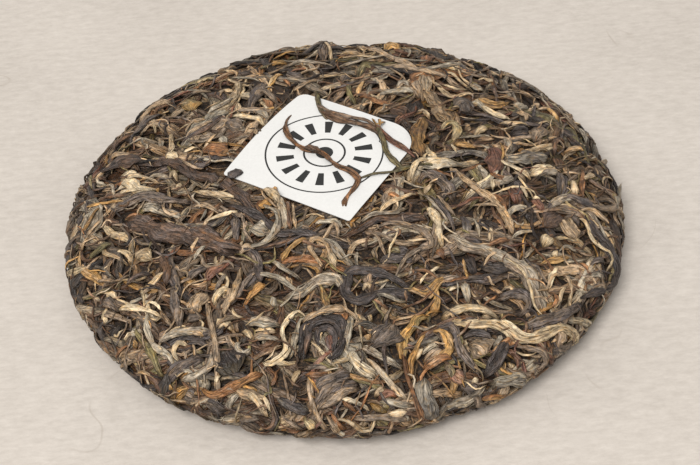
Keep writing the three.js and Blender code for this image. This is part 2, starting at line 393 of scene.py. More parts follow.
FIRST_LEAVES = (
    Scattering(
        {plain(ROLLED_LEAF): 220, plain(RIBBED_LEAF): 200, plain(PALE_STRIP): 140, plain(BROAD_LEAF): 70},
        reach=(0, 108), side=Side.UNDER, piece="under_leaves",
    ),
    Scattering(
        {plain(ROLLED_LEAF): 150, plain(RIBBED_LEAF): 140, plain(BROAD_LEAF): 60},
        reach=(0, 119), jitter=0.8, piece="bed_leaves",
    ),
    Scattering(
        {ROLLED_LEAF: 135, RIBBED_LEAF: 130, PALE_STRIP: 100, BUD: 26, STEM: 60, BROAD_LEAF: 24, SLIVER: 130},
        reach=(0, 118),
    ),
    Scattering({CRUMB: 140, SLIVER: 420}, reach=(0, 116), jitter=1.5),
    Scattering({CRUMB: 60, SLIVER: 150, BUD: 16}, reach=(88, 124), jitter=1.2),
)
LAST_LEAVES = (
    Scattering({SHRED: 650}, reach=(0, 120), jitter=1.5),
    Scattering({SLIVER: 150}, reach=(0, 118), jitter=1.2),
)


@dataclass
class Lay:
    """One leaf's line on a flat map with its own sizes, before it is laid."""

    kind: LeafKind
    side: Side
    line: Array
    width: float
    thickness: float
    tone: Tone
    second: Tone
    blend: float
    lightness: float = 1.0
    high: float = 0.0
    rise: float = 0.0
    on_paper: bool = False


@dataclass
class LeafMesh:
    """Gathers laid folds as arrays and joins them into one piece."""

    name: str
    points: list[Array] = field(default_factory=list)
    faces: list[Array] = field(default_factory=list)
    corners: list[Array] = field(default_factory=list)
    grain: list[Array] = field(default_factory=list)
    sheet: list[Array] = field(default_factory=list)
    sizes: list[Pair] = field(default_factory=list)
    tints: list[Array] = field(default_factory=list)
    count: int = 0
    grain_scale: float = 0.1
    grain_slip: float = 0.37
    sheet_gap: float = 1.0

    def add(self, rings: Array, tips: Array, tint: Array, offset: float) -> None:
        """Adds one closed fold.

        Args:
            rings: Its sections, as stations by corners by three.
            tips: Its two end points.
            tint: A colour for each corner of each section.
            offset: Where its grain starts, in millimetres.
        """
        stations, sides = rings.shape[:2]
        middle = rings.mean(axis=1)
        along = np.r_[0, np.cumsum(np.linalg.norm(np.diff(middle, axis=0), axis=1))]
        loop = rings[stations // 2]
        girth = float(np.linalg.norm(np.roll(loop, -1, axis=0) - loop, axis=1).sum())
        first = np.linalg.norm(tips[0] - middle[0])
        final = np.linalg.norm(tips[1] - middle[-1])
        total = along[-1] + first + final

        k, j = np.indices((stations - 1, sides)).reshape(2, -1)
        here, wrap = k * sides, (j + 1) % sides
        quads = np.stack([here + j, here + sides + j, here + sides + wrap, here + wrap], axis=1)
        quad_k = np.stack([k, k + 1, k + 1, k], axis=1)
        quad_j = np.stack([j, j, j + 1, j + 1], axis=1)
        side = np.arange(sides)
        beyond = (side + 1) % sides
        last, pole = (stations - 1) * sides, stations * sides
        start_cap = np.stack([np.full(sides, pole), side, beyond], axis=1)
        end_cap = np.stack([np.full(sides, pole + 1), last + beyond, last + side], axis=1)
        start_j = np.stack([side + 0.5, side, side + 1], axis=1)
        end_j = np.stack([side + 0.5, side + 1, side], axis=1)
        u = np.concatenate([
            (along + first)[quad_k].ravel(),
            np.tile([0, first, first], sides),
            np.tile([total, total - final, total - final], sides),
        ])
        v = np.concatenate([quad_j.ravel(), start_j.ravel(), end_j.ravel()]) / sides

        self.points.append(np.concatenate([rings.reshape(-1, 3), tips]))
        self.faces.append(np.concatenate([quads.ravel(), start_cap.ravel(), end_cap.ravel()]) + self.count)
        self.corners.append(np.concatenate([np.full(len(quads), 4), np.full(2 * sides, 3)]))
        self.grain.append(np.stack([u + offset, v * girth + offset * self.grain_slip], axis=1))
        self.sheet.append(np.stack([u / total, v], axis=1))
        self.sizes.append((total, girth))
        self.tints.append(np.concatenate([tint.reshape(-1, 3), tint[[0, -1]].mean(axis=1)]))
        self.count += pole + 2

    def sheet_places(self) -> Array:
        """Packs a rectangle for each fold into the unit square, in rows, and makes it larger until all fit.

        Returns:
            The corner and the size of each rectangle, one row each.
        """
        first_slack, growth = 1.03, 1.02
        gap = self.sheet_gap
        sizes = np.array(self.sizes) + gap
        order = np.argsort(-sizes[:, 1])
        side = math.sqrt(float((sizes[:, 0] * sizes[:, 1]).sum())) * first_slack
        while True:
            places = np.zeros((len(sizes), 4))
            x = y = row = 0.0
            for i in order:
                length, girth = sizes[i]
                if x + length > side:
                    x, y, row = 0.0, y + row, 0.0
                row = max(row, girth)
                places[i] = (x + gap / 2, y + gap / 2, length - gap, girth - gap)
                x += length
            if y + row <= side:
                return places / side
            side *= growth

    def build(self, material: Material, slot: str) -> Piece:
        """Args:
            material: What it is made of.
            slot: Not used.

        Returns:
            The piece.
        """
        points = np.concatenate(self.points) * MM
        loops = np.concatenate(self.faces).astype(np.int32)
        corners = np.concatenate(self.corners).astype(np.int32)
        places = np.repeat(self.sheet_places(), [len(sheet) for sheet in self.sheet], axis=0)
        sheet = places[:, :2] + np.concatenate(self.sheet) * places[:, 2:]
        mesh = bpy.data.meshes.new(self.name)
        mesh.vertices.add(len(points))
        mesh.vertices.foreach_set("co", points.astype(np.float32).ravel())
        mesh.loops.add(len(loops))
        mesh.loops.foreach_set("vertex_index", loops)
        mesh.polygons.add(len(corners))
        mesh.polygons.foreach_set("loop_start", np.r_[0, np.cumsum(corners)[:-1]].astype(np.int32))
        mesh.polygons.foreach_set("use_smooth", np.ones(len(corners), dtype=bool))
        mesh.update(calc_edges=True)
        for name, uv in (("Grain", np.concatenate(self.grain) * self.grain_scale), ("OFBake", sheet)):
            mesh.uv_layers.new(name=name).data.foreach_set("uv", uv.astype(np.float32).ravel())
        tint = mesh.color_attributes.new("Tint", "FLOAT_COLOR", "POINT")
        colours = np.concatenate([np.concatenate(self.tints), np.ones((len(points), 1))], axis=1)
        tint.data.foreach_set("color", np.clip(colours, 0, 1).astype(np.float32).ravel())
        mesh.validate()
        piece = bpy.data.objects.new(self.name, mesh)
        bpy.context.scene.collection.objects.link(piece)
        mesh.materials.append(material)
        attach(piece, ROOT)
        LOG.info("%s: %d folds, %d triangles", self.name, len(self.sizes), int((corners - 2).sum()))
        return piece


@dataclass(frozen=True)
class LeafShading:
    """How the tint varies over a laid leaf, with painted light and shade."""

    deepest: float = -3.0
    deep_range: float = 2.4
    gap_light: Triple = (0.42, 0.35, 0.27)
    rim_start: float = 92.0
    rim_range: float = 20.0
    rim_light: float = 0.5
    streaks: float = 0.7
    faint: float = 0.15
    # Painted light: a fold's crown gets a painted highlight and its groove painted shade. Its side corners
    # get either a pale edge, partly the leaf's own colour and partly painted highlight, or a dark painted
    # shade line.
    crown: float = 0.28
    groove_shade: float = 0.9
    edge: float = 0.05
    pale_margin_and_highlight: float = 1.3
    dark_edge_shade: float = 0.72
    pale_share: float = 0.3

    def light(self, level: Array, reach: Array, lightness: float) -> Array:
        """Gives how much light falls on a leaf along its length, less in gaps and below the rim.

        Args:
            level: Its level against the skin at each station.
            reach: How far from the middle of the map the stations are.
            lightness: How light the whole leaf is.

        Returns:
            The light for each of the three colours, one row for each station.
        """
        least = np.array(self.gap_light)
        open_part = np.clip((level - self.deepest) / self.deep_range, 0, 1)
        beyond = np.clip((reach - self.rim_start) / self.rim_range, 0, 1)
        light = (least + (1 - least) * open_part[:, None]) * lightness
        return light * (1 - (1 - self.rim_light) * beyond)[:, None]

    def tint(self, rng: np.random.Generator, leaf: Lay, along: Array, x: Array, lit: Array) -> Array:
        """Draws the tint of one fold: its two tones in streaks, a painted highlight on the crown and painted
        shade below.

        Args:
            rng: The source of chance.
            leaf: The leaf.
            along: How far each station is from its start.
            x: How far across each corner is.
            lit: How much light each corner catches.

        Returns:
            A colour for each corner.
        """
        streak = smooth_noise(rng, along, 14)[:, None]
        streak = streak + 0.5 * smooth_noise(rng, along, 6)[:, None] * np.sign(x)
        own = leaf.blend if rng.random() < 0.5 else self.faint * leaf.blend
        share = np.clip(own + self.streaks * leaf.blend * streak, 0, 1)[..., None]
        tint = leaf.tone.light * (1 - share) + leaf.second.light * share
        # Painted light: corners facing up get a painted highlight and corners facing down painted shade. The
        # side corners get either a pale edge with painted highlight or a dark painted shade line.
        edge = self.pale_margin_and_highlight if rng.random() < self.pale_share else self.dark_edge_shade
        below = np.where(lit > -self.edge, edge, 1 + self.groove_shade * lit)
        shade = np.where(lit > self.edge, 1 + self.crown * lit, below)
        shade = shade * (1 + 0.16 * smooth_noise(rng, along, 9))[:, None] * rng.uniform(0.78, 1.22)
        return tint * shade[..., None]


@dataclass
class LeafLayer:
    """Lays leaves one after another over the core, each on what already lies there.

    Levels are heights against the skin, in millimetres. A cap is the level over which the press holds a
    leaf down, and a spring is how far the leaf gets past it. Under stands for the underside, paper for below
    the ticket and over for upon it. The press and the droop are shares of a leaf's thickness.
    """

    skin: Skin
    ticket: Ticket
    rng: np.random.Generator
    shading: LeafShading = LeafShading()
    cap: float = -0.5
    under_cap: float = -0.3
    spring: float = 1.0
    under_spring: float = 0.3
    paper_spring: float = 0.15
    over_cap: float = 1.7
    over_spring: float = 0.6
    press: float = 0.3
    stiffness: float = 3.0
    droop: float = 0.9
    paper_gap: float = 1.1
    paper_margin: float = 0.6
    over_paper: float = 0.15
    ground_gap: float = 0.15
    kept_height: float = 0.4
    rim_curve: float = 0.045
    rim_zone: tuple[float, float, float, float] = (90, 99, 112, 121)
    beds: dict[Side, Bed] = field(default_factory=lambda: {Side.TOP: Bed(), Side.UNDER: Bed(floor=-2.6)})

    def ceiling(self, side: Side, flat: Array, half_width: Array) -> Array:
        """Gives how high a leaf's top may rise.

        Args:
            side: The map.
            flat: Places on it.
            half_width: Half the leaf's width there.

        Returns:
            The highest level there, lower under the ticket.
        """
        if side is Side.UNDER:
            return np.full(len(flat), self.under_cap)
        near_paper = self.ticket.depth_inside(flat) > -self.paper_margin - half_width
        return np.where(near_paper, self.ticket.level - self.paper_gap, self.cap)

    def lay_ticket(self) -> None:
        """Raises the bed to the paper all over the ticket."""
        bed = self.beds[Side.TOP]
        spots = np.arange(len(bed.heights)) * bed.cell - bed.reach
        x, y = np.meshgrid(spots, spots, indexing="ij")
        inside = self.ticket.depth_inside(np.stack([x, y], axis=-1)) > 0
        bed.heights[inside] = self.ticket.level + self.over_paper

    def rest(self, leaf: Lay, sideways: Array) -> Array:
        """Finds what a leaf rests on, bridging the gaps that it is too stiff to sink into.

        Args:
            leaf: The leaf.
            sideways: From its middle line to its edge at each station.

        Returns:
            The level of what bears it at each station.
        """
        bearing = 3
        reach = np.linspace(-0.8, 0.8, 7)
        spots = leaf.line[:, None, :] + reach[None, :, None] * sideways[:, None, :]
        ground = np.sort(self.beds[leaf.side].under(spots), axis=1)[:, -bearing:].mean(axis=1)
        window = max(1, round(self.stiffness / leaf.kind.pitch))
        padded = np.pad(ground, window, mode="edge")
        held = np.max([padded[i:i + len(ground)] for i in range(2 * window + 1)], axis=0)
        padded = np.pad(0.5 * ground + 0.5 * held, 2, mode="edge")
        return np.convolve(padded, [0.1, 0.2, 0.4, 0.2, 0.1], mode="valid")

    def settle(self, leaf: Lay, along: Array, across: Array, half_width: Array, half_thick: Array) -> Array:
        """Lets a leaf down on what lies there, and raises the bed by it.

        Args:
            leaf: The leaf.
            along: How far each station is from its start.
            across: The direction across it at each station.
            half_width: Half its width there.
            half_thick: Half its thickness there.

        Returns:
            The level of its middle at each station.
        """
        sideways = half_width[:, None] * across
        ground = self.rest(leaf, sideways)
        end = np.abs(2 * along / along[-1] - 1)
        sink = self.droop * leaf.thickness * end**6
        level = ground + half_thick * (1 - 2 * self.press) + leaf.high - sink
        ceiling = self.ceiling(leaf.side, leaf.line, half_width)
        below_paper = ceiling < self.cap
        spring = np.where(below_paper, self.paper_spring, self.spring)
        if leaf.on_paper:
            ceiling, spring = np.full(len(along), self.over_cap), np.full(len(along), self.over_spring)
        elif leaf.rise:
            ceiling = ceiling + leaf.rise * ~below_paper
        elif leaf.side is Side.UNDER:
            spring = np.full(len(along), self.under_spring)
        over = np.maximum(0, level + half_thick - ceiling)
        level -= over - spring * np.tanh(over / spring)
        level += 0.12 * smooth_noise(self.rng, along, 9)
        inner = np.linspace(-0.7, 0.7, 7)
        covered = leaf.line[:, None, :] + inner[None, :, None] * sideways[:, None, :]
        crown = (level + half_thick * 0.8)[:, None] - 0.25 * half_thick[:, None] * inner**2
        self.beds[leaf.side].cover(covered, crown)
        return level

    def blade(self, count: int, along: Array, half_width: Array, half_thick: Array, turn: Array) -> Fold:
        """Shapes a broad leaf as one flat section, with pleats, a rib, a camber and ragged edges.

        Args:
            count: How many pleats it has.
            along: How far each station is from its start.
            half_width: Half its width there.
            half_thick: Half its thickness there.
            turn: Where the corners are round a section, in radians.

        Returns:
            How far its corners are across and up, and how much light they catch.
        """
        rng = self.rng
        cos, sin = np.cos(turn)[None, :], np.sin(turn)[None, :]
        ragged = 0.24 * smooth_noise(rng, along, 9)[:, None] * np.sign(cos)
        ragged = ragged + 0.1 * smooth_noise(rng, along, 5)[:, None]
        wide, thick = half_width[:, None] * (1 + ragged), np.maximum(half_thick, 0.3)[:, None]
        camber, crease = rng.uniform(-0.25, 0.3), rng.uniform(-0.1, 0.3)
        shift = rng.uniform(-0.6, 0.6)
        pleat = np.cos(np.pi * count * cos + shift + 1.1 * smooth_noise(rng, along, 16)[:, None])
        pleat = pleat * (0.6 + 0.4 * smooth_noise(rng, along, 12)[:, None])
        ripple = 0.45 * smooth_noise(rng, along, 13)[:, None] * np.sign(cos) * cos**2
        rib = np.exp(-((cos / 0.2) ** 2)) * (sin > 0)
        z = thick * sin + wide * (camber * (cos**2 - 0.4) + crease * (np.abs(cos) - 0.4)) + ripple
        z = z + (0.3 * rib + 0.22 * pleat) * np.clip(half_width / 2.5, 0, 1)[:, None]
        # The third value paints light into the tint: pleat crests, the edges and the rib are painted lighter,
        # and pleat troughs darker.
        return wide * cos, z, 0.3 * pleat + 0.4 * np.abs(cos) ** 6 + 0.5 * rib

    def strands(self, count: int, kind: LeafKind, along: Array, half_width: Array, half_thick: Array,
                turn: Array) -> list[Fold]:
        """Shapes the folds of a rolled or ribbed leaf, twisted round each other or side by side.

        Args:
            count: How many there are.
            kind: The leaf's kind.
            along: How far each station is from its start.
            half_width: Half its width there.
            half_thick: Half its thickness there.
            turn: Where the corners are round a section, in radians.

        Returns:
            For each fold how far its corners are across and up, and how much light they catch.
        """
        rng = self.rng
        cos, sin = np.cos(turn)[None, :], np.sin(turn)[None, :]
        roll = rng.uniform(-0.3, 0.3) + 0.35 * smooth_noise(rng, along, 26)
        spin = rng.choice([-1, 1]) * rng.uniform(0.5, 1.5) * kind.twist * 2 * np.pi
        start = rng.uniform(0, 2 * np.pi)
        shapes = []
        for number in range(count):
            if count == 1:
                off_x, off_z, grow = 0 * along, 0 * along, 1.0
            elif kind.form is Form.ROLLED:
                angle = start + 2 * np.pi * number / count + spin * along
                off_x, off_z, grow = 0.5 * half_width * np.cos(angle), 0.5 * half_thick * np.sin(angle), 0.6
            else:
                place = (2 * number + 1) / count - 1
                off_x = half_width * (0.8 * place + 0.16 * smooth_noise(rng, along, 17))
                off_z = half_thick * (0.35 * smooth_noise(rng, along, 15) - 0.3 * place**2)
                grow = 1.25 / count
            wide = grow * half_width * (1 + 0.15 * smooth_noise(rng, along, 10))
            thick = half_thick * (max(grow, 0.62) if count > 1 else 1.0) * rng.uniform(0.85, 1.15)
            x = off_x[:, None] + wide[:, None] * cos
            z = off_z[:, None] + thick[:, None] * np.sign(sin) * np.abs(sin) ** 1.15
            x, z = (
                x * np.cos(roll)[:, None] - z * np.sin(roll)[:, None],
                x * np.sin(roll)[:, None] + z * np.cos(roll)[:, None],
            )
            # The third value is how much a corner faces up, for the painted light in its tint.
            shapes.append((x, z, np.broadcast_to(sin, x.shape)))
        return shapes

    def lay(self, leaf: Lay, mesh: LeafMesh) -> None:
        """Lays one leaf and adds its folds to a piece.

        Args:
            leaf: The leaf.
            mesh: The piece it joins.
        """
        rng, kind, line = self.rng, leaf.kind, leaf.line
        step = np.diff(line, axis=0)
        along = np.r_[0, np.cumsum(np.hypot(step[:, 0], step[:, 1]))]
        end = np.abs(2 * (along / along[-1]) ** rng.uniform(0.6, 1.6) - 1)
        heading = np.gradient(line, axis=0)
        heading /= np.maximum(np.linalg.norm(heading, axis=1, keepdims=True), 1e-9)
        across = np.stack([-heading[:, 1], heading[:, 0]], axis=1)
        taper = kind.tip + (1 - kind.tip) * (1 - end**2.6) ** 0.7
        half_width = leaf.width / 2 * taper * (1 + 0.26 * smooth_noise(rng, along, 13))
        half_thick = leaf.thickness / 2 * (0.55 + 0.45 * taper) * (1 + 0.14 * smooth_noise(rng, along, 11))
        level = self.settle(leaf, along, across, half_width, half_thick)

        base, out = self.skin.lift(leaf.side, line)
        middle = base + out * level[:, None]
        ahead = np.gradient(middle, axis=0)
        ahead /= np.linalg.norm(ahead, axis=1, keepdims=True)
        beside = np.cross(ahead, out)
        beside /= np.linalg.norm(beside, axis=1, keepdims=True)
        reach = np.maximum(np.hypot(line[:, 0], line[:, 1]), 1.0)
        outward = ((across * line).sum(axis=1) / reach) ** 2
        wrap = self.rim_curve * outward * np.interp(reach, self.rim_zone, (0, 1, 1, 0))
        light = self.shading.light(level, reach, leaf.lightness)

        count = rng.integers(kind.folds[0], kind.folds[1] + 1)
        turn = np.pi / 2 + np.linspace(0, 2 * np.pi, kind.sides, endpoint=False)
        if kind.form is Form.BLADE:
            shapes = [self.blade(count, along, half_width, half_thick, turn)]
        else:
            shapes = self.strands(count, kind, along, half_width, half_thick, turn)
        for x, z, lit in shapes:
            z = z - wrap[:, None] * x**2
            rings = middle[:, None, :] + x[..., None] * beside[:, None, :] + z[..., None] * out[:, None, :]
            overhang = 0.5 * half_width[[0, -1], None]
            tips = rings.mean(axis=1)[[0, -1]] + np.array([[-1], [1]]) * ahead[[0, -1]] * overhang
            if leaf.side is Side.UNDER:
                height = rings[..., 2] - rings[..., 2].min(axis=1, keepdims=True)
                rings[..., 2] = np.maximum(rings[..., 2], self.ground_gap + self.kept_height * height)
                tips[:, 2] = np.maximum(tips[:, 2], self.ground_gap)
            tint = self.shading.tint(rng, leaf, along, x, lit) * light[:, None, :]
            mesh.add(rings, tips, tint, float(rng.uniform(0, 400)))

    def wander(self, middle: Array, heading: float, length: float, kind: LeafKind) -> Array:
        """Draws a leaf's line on the flat map.

        Args:
            middle: Its middle.
            heading: Its run there, in radians.
            length: Its length.
            kind: Its kind.

        Returns:
            The line's points.
        """
        rng = self.rng
        count = max(4, round(length / kind.pitch))
        share = (np.arange(count) + 0.5) / count
        turn = rng.normal(0, kind.bend * 0.6) * (share - 0.5)
        turn += rng.normal(0, 0.45) * np.sin(2 * np.pi * share * rng.uniform(0.6, 1.5) + rng.uniform(0, 6))
        turn += 0.22 * smooth_noise(rng, share * length, 12)
        if rng.random() < kind.hooks:
            where = rng.choice([0.8, 0.65, 0.35, 0.2])
            hook = rng.choice([-1, 1]) * rng.uniform(1.4, 3.4)
            turn += hook / (1 + np.exp(-(share - where) * rng.uniform(9, 20)))
        step = np.stack([np.cos(heading + turn), np.sin(heading + turn)], axis=1) * length / count
        line = np.concatenate([[[0.0, 0.0]], np.cumsum(step, axis=0)])
        return middle + line - line[count // 2]

    def random_leaf(self, kind: LeafKind, side: Side, middle: Array, heading: float) -> Lay:
        """Picks the sizes and colours of a leaf of a kind.

        Args:
            kind: The kind.
            side: The map it lies on.
            middle: Its middle.
            heading: Its run there.

        Returns:
            The leaf.
        """
        rng = self.rng
        length, width = rng.uniform(*kind.length), rng.uniform(*kind.width)
        weights = np.array([weight for _, weight in kind.tones])
        tone = kind.tones[rng.choice(len(weights), p=weights / weights.sum())][0]
        second = kind.second[rng.integers(len(kind.second))]
        return Lay(
            kind=kind,
            side=side,
            line=self.wander(middle, heading, length, kind),
            width=width,
            thickness=width * rng.uniform(*kind.flatness),
            tone=tone,
            second=second,
            blend=rng.uniform(0.1, 1.0),
            lightness=min(math.exp(rng.normal(0.02, 0.26)), 1.5),
        )

    def flow(self, side: Side, flat: Array) -> float:
        """Gives the general run of the leaves at a place: swirls in the middle, and round at the rim.

        Args:
            side: The map.
            flat: The place on it.

        Returns:
            The run, in radians.
        """
        x, y = flat
        along = math.atan2(y, x) + math.pi / 2
        if side is Side.UNDER:
            return along + 0.7 * math.sin(x / 23) + 0.5
        drift = -0.5 + 0.9 * math.sin(x / 34 + 1.1) + 0.8 * math.cos(y / 29 - 0.4)
        near = np.clip((math.hypot(x, y) - 74) / 22, 0, 1)
        gap = math.atan2(math.sin(along - drift), math.cos(along - drift))
        return drift + gap * near * near * (3 - 2 * near)

    def scatter(self, strewn: Scattering, piles: dict[str, LeafMesh]) -> None:
        """Strews one round of leaves, in a mixed order.

        Args:
            strewn: The round.
            piles: The pieces by name.
        """
        rng = self.rng
        kinds = [kind for kind, count in strewn.counts.items() for _ in range(count)]
        total = len(kinds)
        inner, outer = strewn.reach
        start = rng.uniform(0, 2 * np.pi)
        order = rng.permutation(total)
        for place, kind_number in zip(order, rng.permutation(total)):
            area = (outer**2 - inner**2) * (place + rng.random()) / total
            turn = start + place * GOLDEN_ANGLE + rng.normal(0, 0.03)
            middle = math.sqrt(inner**2 + area) * np.array([math.cos(turn), math.sin(turn)])
            kind = kinds[kind_number]
            heading = self.flow(strewn.side, middle) + rng.normal(0, strewn.jitter)
            leaf = self.random_leaf(kind, strewn.side, middle, heading)
            self.lay(leaf, piles[strewn.piece or OWN_PIECE[kind]])


@dataclass(frozen=True)
class Shown:
    """A leaf that stands out, by the pixels of the photograph that it passes."""

    tone: Tone
    width: float
    path: tuple[Pair, ...]
    kind: LeafKind = RIBBED_LEAF
    second: Tone = TAUPE
    blend: float = 0.5
    flatness: float = 0.5
    lightness: float = 1.0
    high: float = 0.3


MATES = {
    SLATE: TAUPE, CHARCOAL: SLATE, UMBER: SLATE, TAUPE: TAN, ASH: TAUPE, TAN: TAUPE, STRAW: TAN, BONE: STRAW,
    RUST: UMBER, GOLDEN: TAN, RED_BROWN: UMBER, OLIVE: TAUPE,
}
KIND_BY_WIDTH = ((2.3, SLIVER), (4.2, SLIM_LEAF), (6.8, RIBBED_LEAF), (20, BROAD_LEAF))
TRUE_WIDTH = 0.84


def shown(tone: Tone, width: float, *path: Pair, kind: LeafKind | None = None,
          second: Tone | None = None, lightness: float = 1.0) -> Shown:
    """Notes a leaf that stands out, with the kind and the second tone that go with its width and tone.

    Args:
        tone: Its tone.
        width: Its width in millimetres, as judged with its shadows, which is a little too wide.
        path: The pixels of the photograph that it passes.
        kind: Its kind, where the width doesn't say it.
        second: Its second tone, where it isn't the usual one.
        lightness: How light it is for its tone.

    Returns:
        The note.
    """
    if kind is None:
        kind = next(kind for widest, kind in KIND_BY_WIDTH if width < widest)
    return Shown(tone, TRUE_WIDTH * width, path, kind, second or MATES[tone], lightness=lightness)


BACK_LEAVES = (
    shown(SLATE, 6, (250, 108), (255, 95), (262, 86), (268, 82)),
    shown(SLATE, 6, (300, 50), (315, 46), (325, 44), (322, 55)),
    shown(SLATE, 5, (285, 72), (295, 76), (305, 75)),
    shown(OLIVE, 5, (325, 42), (335, 40)),
    shown(TAUPE, 3, (176, 106), (182, 97), (190, 93), (200, 91), (210, 88)),
    shown(RUST, 2.6, (290, 73), (300, 70), (310, 66), second=RED_BROWN),
    shown(RUST, 7, (418, 58), (425, 58), (428, 52), second=RED_BROWN),
    shown(UMBER, 8, (405, 112), (395, 107), (385, 105)),
    shown(SLATE, 5, (345, 70), (345, 82)),
    shown(SLATE, 9, (455, 105), (462, 103), (470, 110)),
    shown(TAN, 7, (424, 75), (425, 83), (424, 97), kind=RIBBED_LEAF, second=ASH),
    shown(TAN, 6, (410, 83), (415, 90), (420, 94)),
    shown(TAN, 8, (425, 92), (434, 99), (440, 107), (446, 115), (451, 121), second=GOLDEN),
    shown(RUST, 3.4, (360, 95), (375, 100), (390, 104)),
    shown(TAUPE, 3, (385, 64), (400, 67), (415, 70), (430, 73), (445, 76), (460, 82), (475, 88)),
    shown(GOLDEN, 4, (270, 62), (278, 59), (288, 57), second=OLIVE),
    shown(TAN, 2.6, (290, 87), (300, 86), (310, 82), (318, 79)),
    shown(RUST, 2, (283, 79), (290, 84)),
    shown(TAUPE, 3, (255, 96), (262, 92), (272, 94), (278, 99)),
    shown(ASH, 2.2, (275, 66), (290, 62), (305, 60), (335, 62)),
    shown(STRAW, 2, (325, 45), (330, 50), (331, 57)),
    shown(STRAW, 2.2, (216, 78), (226, 77), (236, 81), (246, 84), (255, 83)),
    shown(TAN, 4, (237, 80), (238, 88), (233, 99), (226, 105), (215, 110), (209, 112), second=STRAW),
    shown(BONE, 2, (216, 87), (226, 86), (234, 86)),
    shown(ASH, 2.2, (230, 77), (245, 78), (260, 80)),
    shown(GOLDEN, 2.6, (267, 88), (272, 82), (278, 75), (282, 71), second=STRAW),
    shown(STRAW, 2.4, (340, 50), (350, 48), (362, 48), (375, 49), (382, 55), (375, 58), (365, 57),
        (342, 54)),
    shown(ASH, 2, (335, 63), (350, 60), (370, 60), (385, 56)),
    shown(TAN, 3.2, (355, 42), (365, 45), (375, 50), (385, 56), (400, 60), (420, 68), lightness=1.15),
    shown(ASH, 3, (420, 69), (432, 68), (442, 67), (468, 64)),
    shown(OLIVE, 4, (358, 72), (365, 66), (372, 68)),
    shown(GOLDEN, 5, (385, 49), (392, 47), (400, 50)),
    shown(STRAW, 1.8, (445, 70), (453, 73), (460, 78), (468, 82), (475, 85)),
    shown(STRAW, 1.8, (458, 68), (461, 74), (466, 78), (476, 82), (484, 84)),
    shown(ASH, 3.6, (470, 81), (478, 84), (485, 84)),
    shown(ASH, 4, (397, 85), (404, 83), (408, 86)),
    shown(ASH, 3.4, (380, 93), (392, 92), (405, 91), (413, 92)),
    shown(STRAW, 2.4, (418, 107), (424, 109), (430, 114)),
    shown(STRAW, 2.6, (432, 80), (438, 84), (445, 89), (452, 92)),
    shown(STRAW, 1.8, (443, 82), (452, 86), (460, 88), (468, 85)),
    shown(STRAW, 2.4, (442, 90), (452, 94), (464, 93), (475, 91)),
    shown(GOLDEN, 3, (475, 98), (485, 102), (495, 105), (508, 103)),
    shown(ASH, 3.6, (472, 101), (480, 105), (490, 110)),
    shown(OLIVE, 3, (348, 85), (350, 95), (356, 100)),
    shown(TAN, 2.4, (357, 95), (360, 88), (365, 80), second=GOLDEN),
)
BACK_LEFT_LEAVES = (
    shown(UMBER, 8, (100, 172), (110, 168), (120, 163), (132, 161), (142, 159)),
    shown(UMBER, 7, (151, 161), (171, 161), (195, 174), (220, 180), (237, 191), (246, 202), (265, 217),
        kind=RIBBED_LEAF),
    shown(RUST, 9, (202, 152), (215, 150), (228, 152), (238, 146), (245, 140), second=GOLDEN,
        lightness=1.2),
    shown(SLATE, 9, (225, 122), (233, 124), (242, 125)),
    shown(OLIVE, 9, (185, 97), (190, 103), (192, 110), second=GOLDEN),
    shown(SLATE, 4, (128, 140), (138, 128), (150, 119), (160, 110)),
    shown(UMBER, 5, (110, 147), (120, 139), (130, 131)),
    shown(TAN, 4, (137, 119), (146, 113), (155, 106), (170, 99), lightness=1.15),
    shown(TAN, 3.5, (108, 157), (116, 154), (124, 153), (140, 150), second=GOLDEN),
    shown(SLATE, 3.5, (180, 140), (195, 135), (207, 129), (215, 122), (225, 113), second=UMBER),
    shown(ASH, 2.6, (118, 146), (134, 141), (142, 138), (151, 137), (158, 137)),
    shown(ASH, 3, (152, 132), (158, 134), (160, 140), (160, 145)),
    shown(BONE, 5, (117, 178), (125, 174), (131, 173), (135, 179), second=ASH),
    shown(BONE, 3, (125, 179), (140, 177), (158, 179), second=TAN),
    shown(ASH, 5, (120, 182), (130, 184), (138, 190), (146, 189), (158, 183), second=STRAW, lightness=1.25),
    shown(BONE, 2, (118, 194), (125, 193), (140, 192)),
    shown(GOLDEN, 2, (157, 185), (158, 192)),
    shown(STRAW, 5, (175, 188), (180, 186), (184, 184)),
    shown(STRAW, 2.6, (176, 176), (173, 171), (169, 175)),
    shown(BONE, 3.2, (200, 190), (208, 191), (218, 193), (226, 197), (234, 197)),
    shown(TAN, 2, (183, 163), (190, 167), (197, 169), (203, 166)),
    shown(TAN, 2, (185, 132), (192, 123), (200, 121), (207, 120)),
    shown(TAN, 2.4, (186, 137), (195, 131), (205, 126), (213, 123)),
    shown(TAN, 2, (200, 148), (208, 141), (215, 136), (218, 133)),
    shown(ASH, 4, (220, 138), (226, 143)),
    shown(BONE, 2.4, (182, 152), (190, 147), (197, 144)),
    shown(BONE, 3.6, (232, 114), (244, 116), (255, 118), (264, 123)),
    shown(ASH, 2.6, (208, 112), (218, 108), (228, 103), (234, 98)),
    shown(ASH, 4, (255, 112), (262, 114), (268, 117), lightness=1.1),
    shown(RUST, 4, (262, 97), (268, 101), (271, 105)),
    shown(OLIVE, 2.4, (206, 105), (215, 102), (228, 99)),
    shown(ASH, 2, (103, 183), (111, 184), (113, 191), (115, 197)),
    shown(STRAW, 3, (170, 130), (170, 140), (171, 148), (170, 155)),
    shown(BONE, 5, (165, 157), (171, 156), (177, 158)),
)
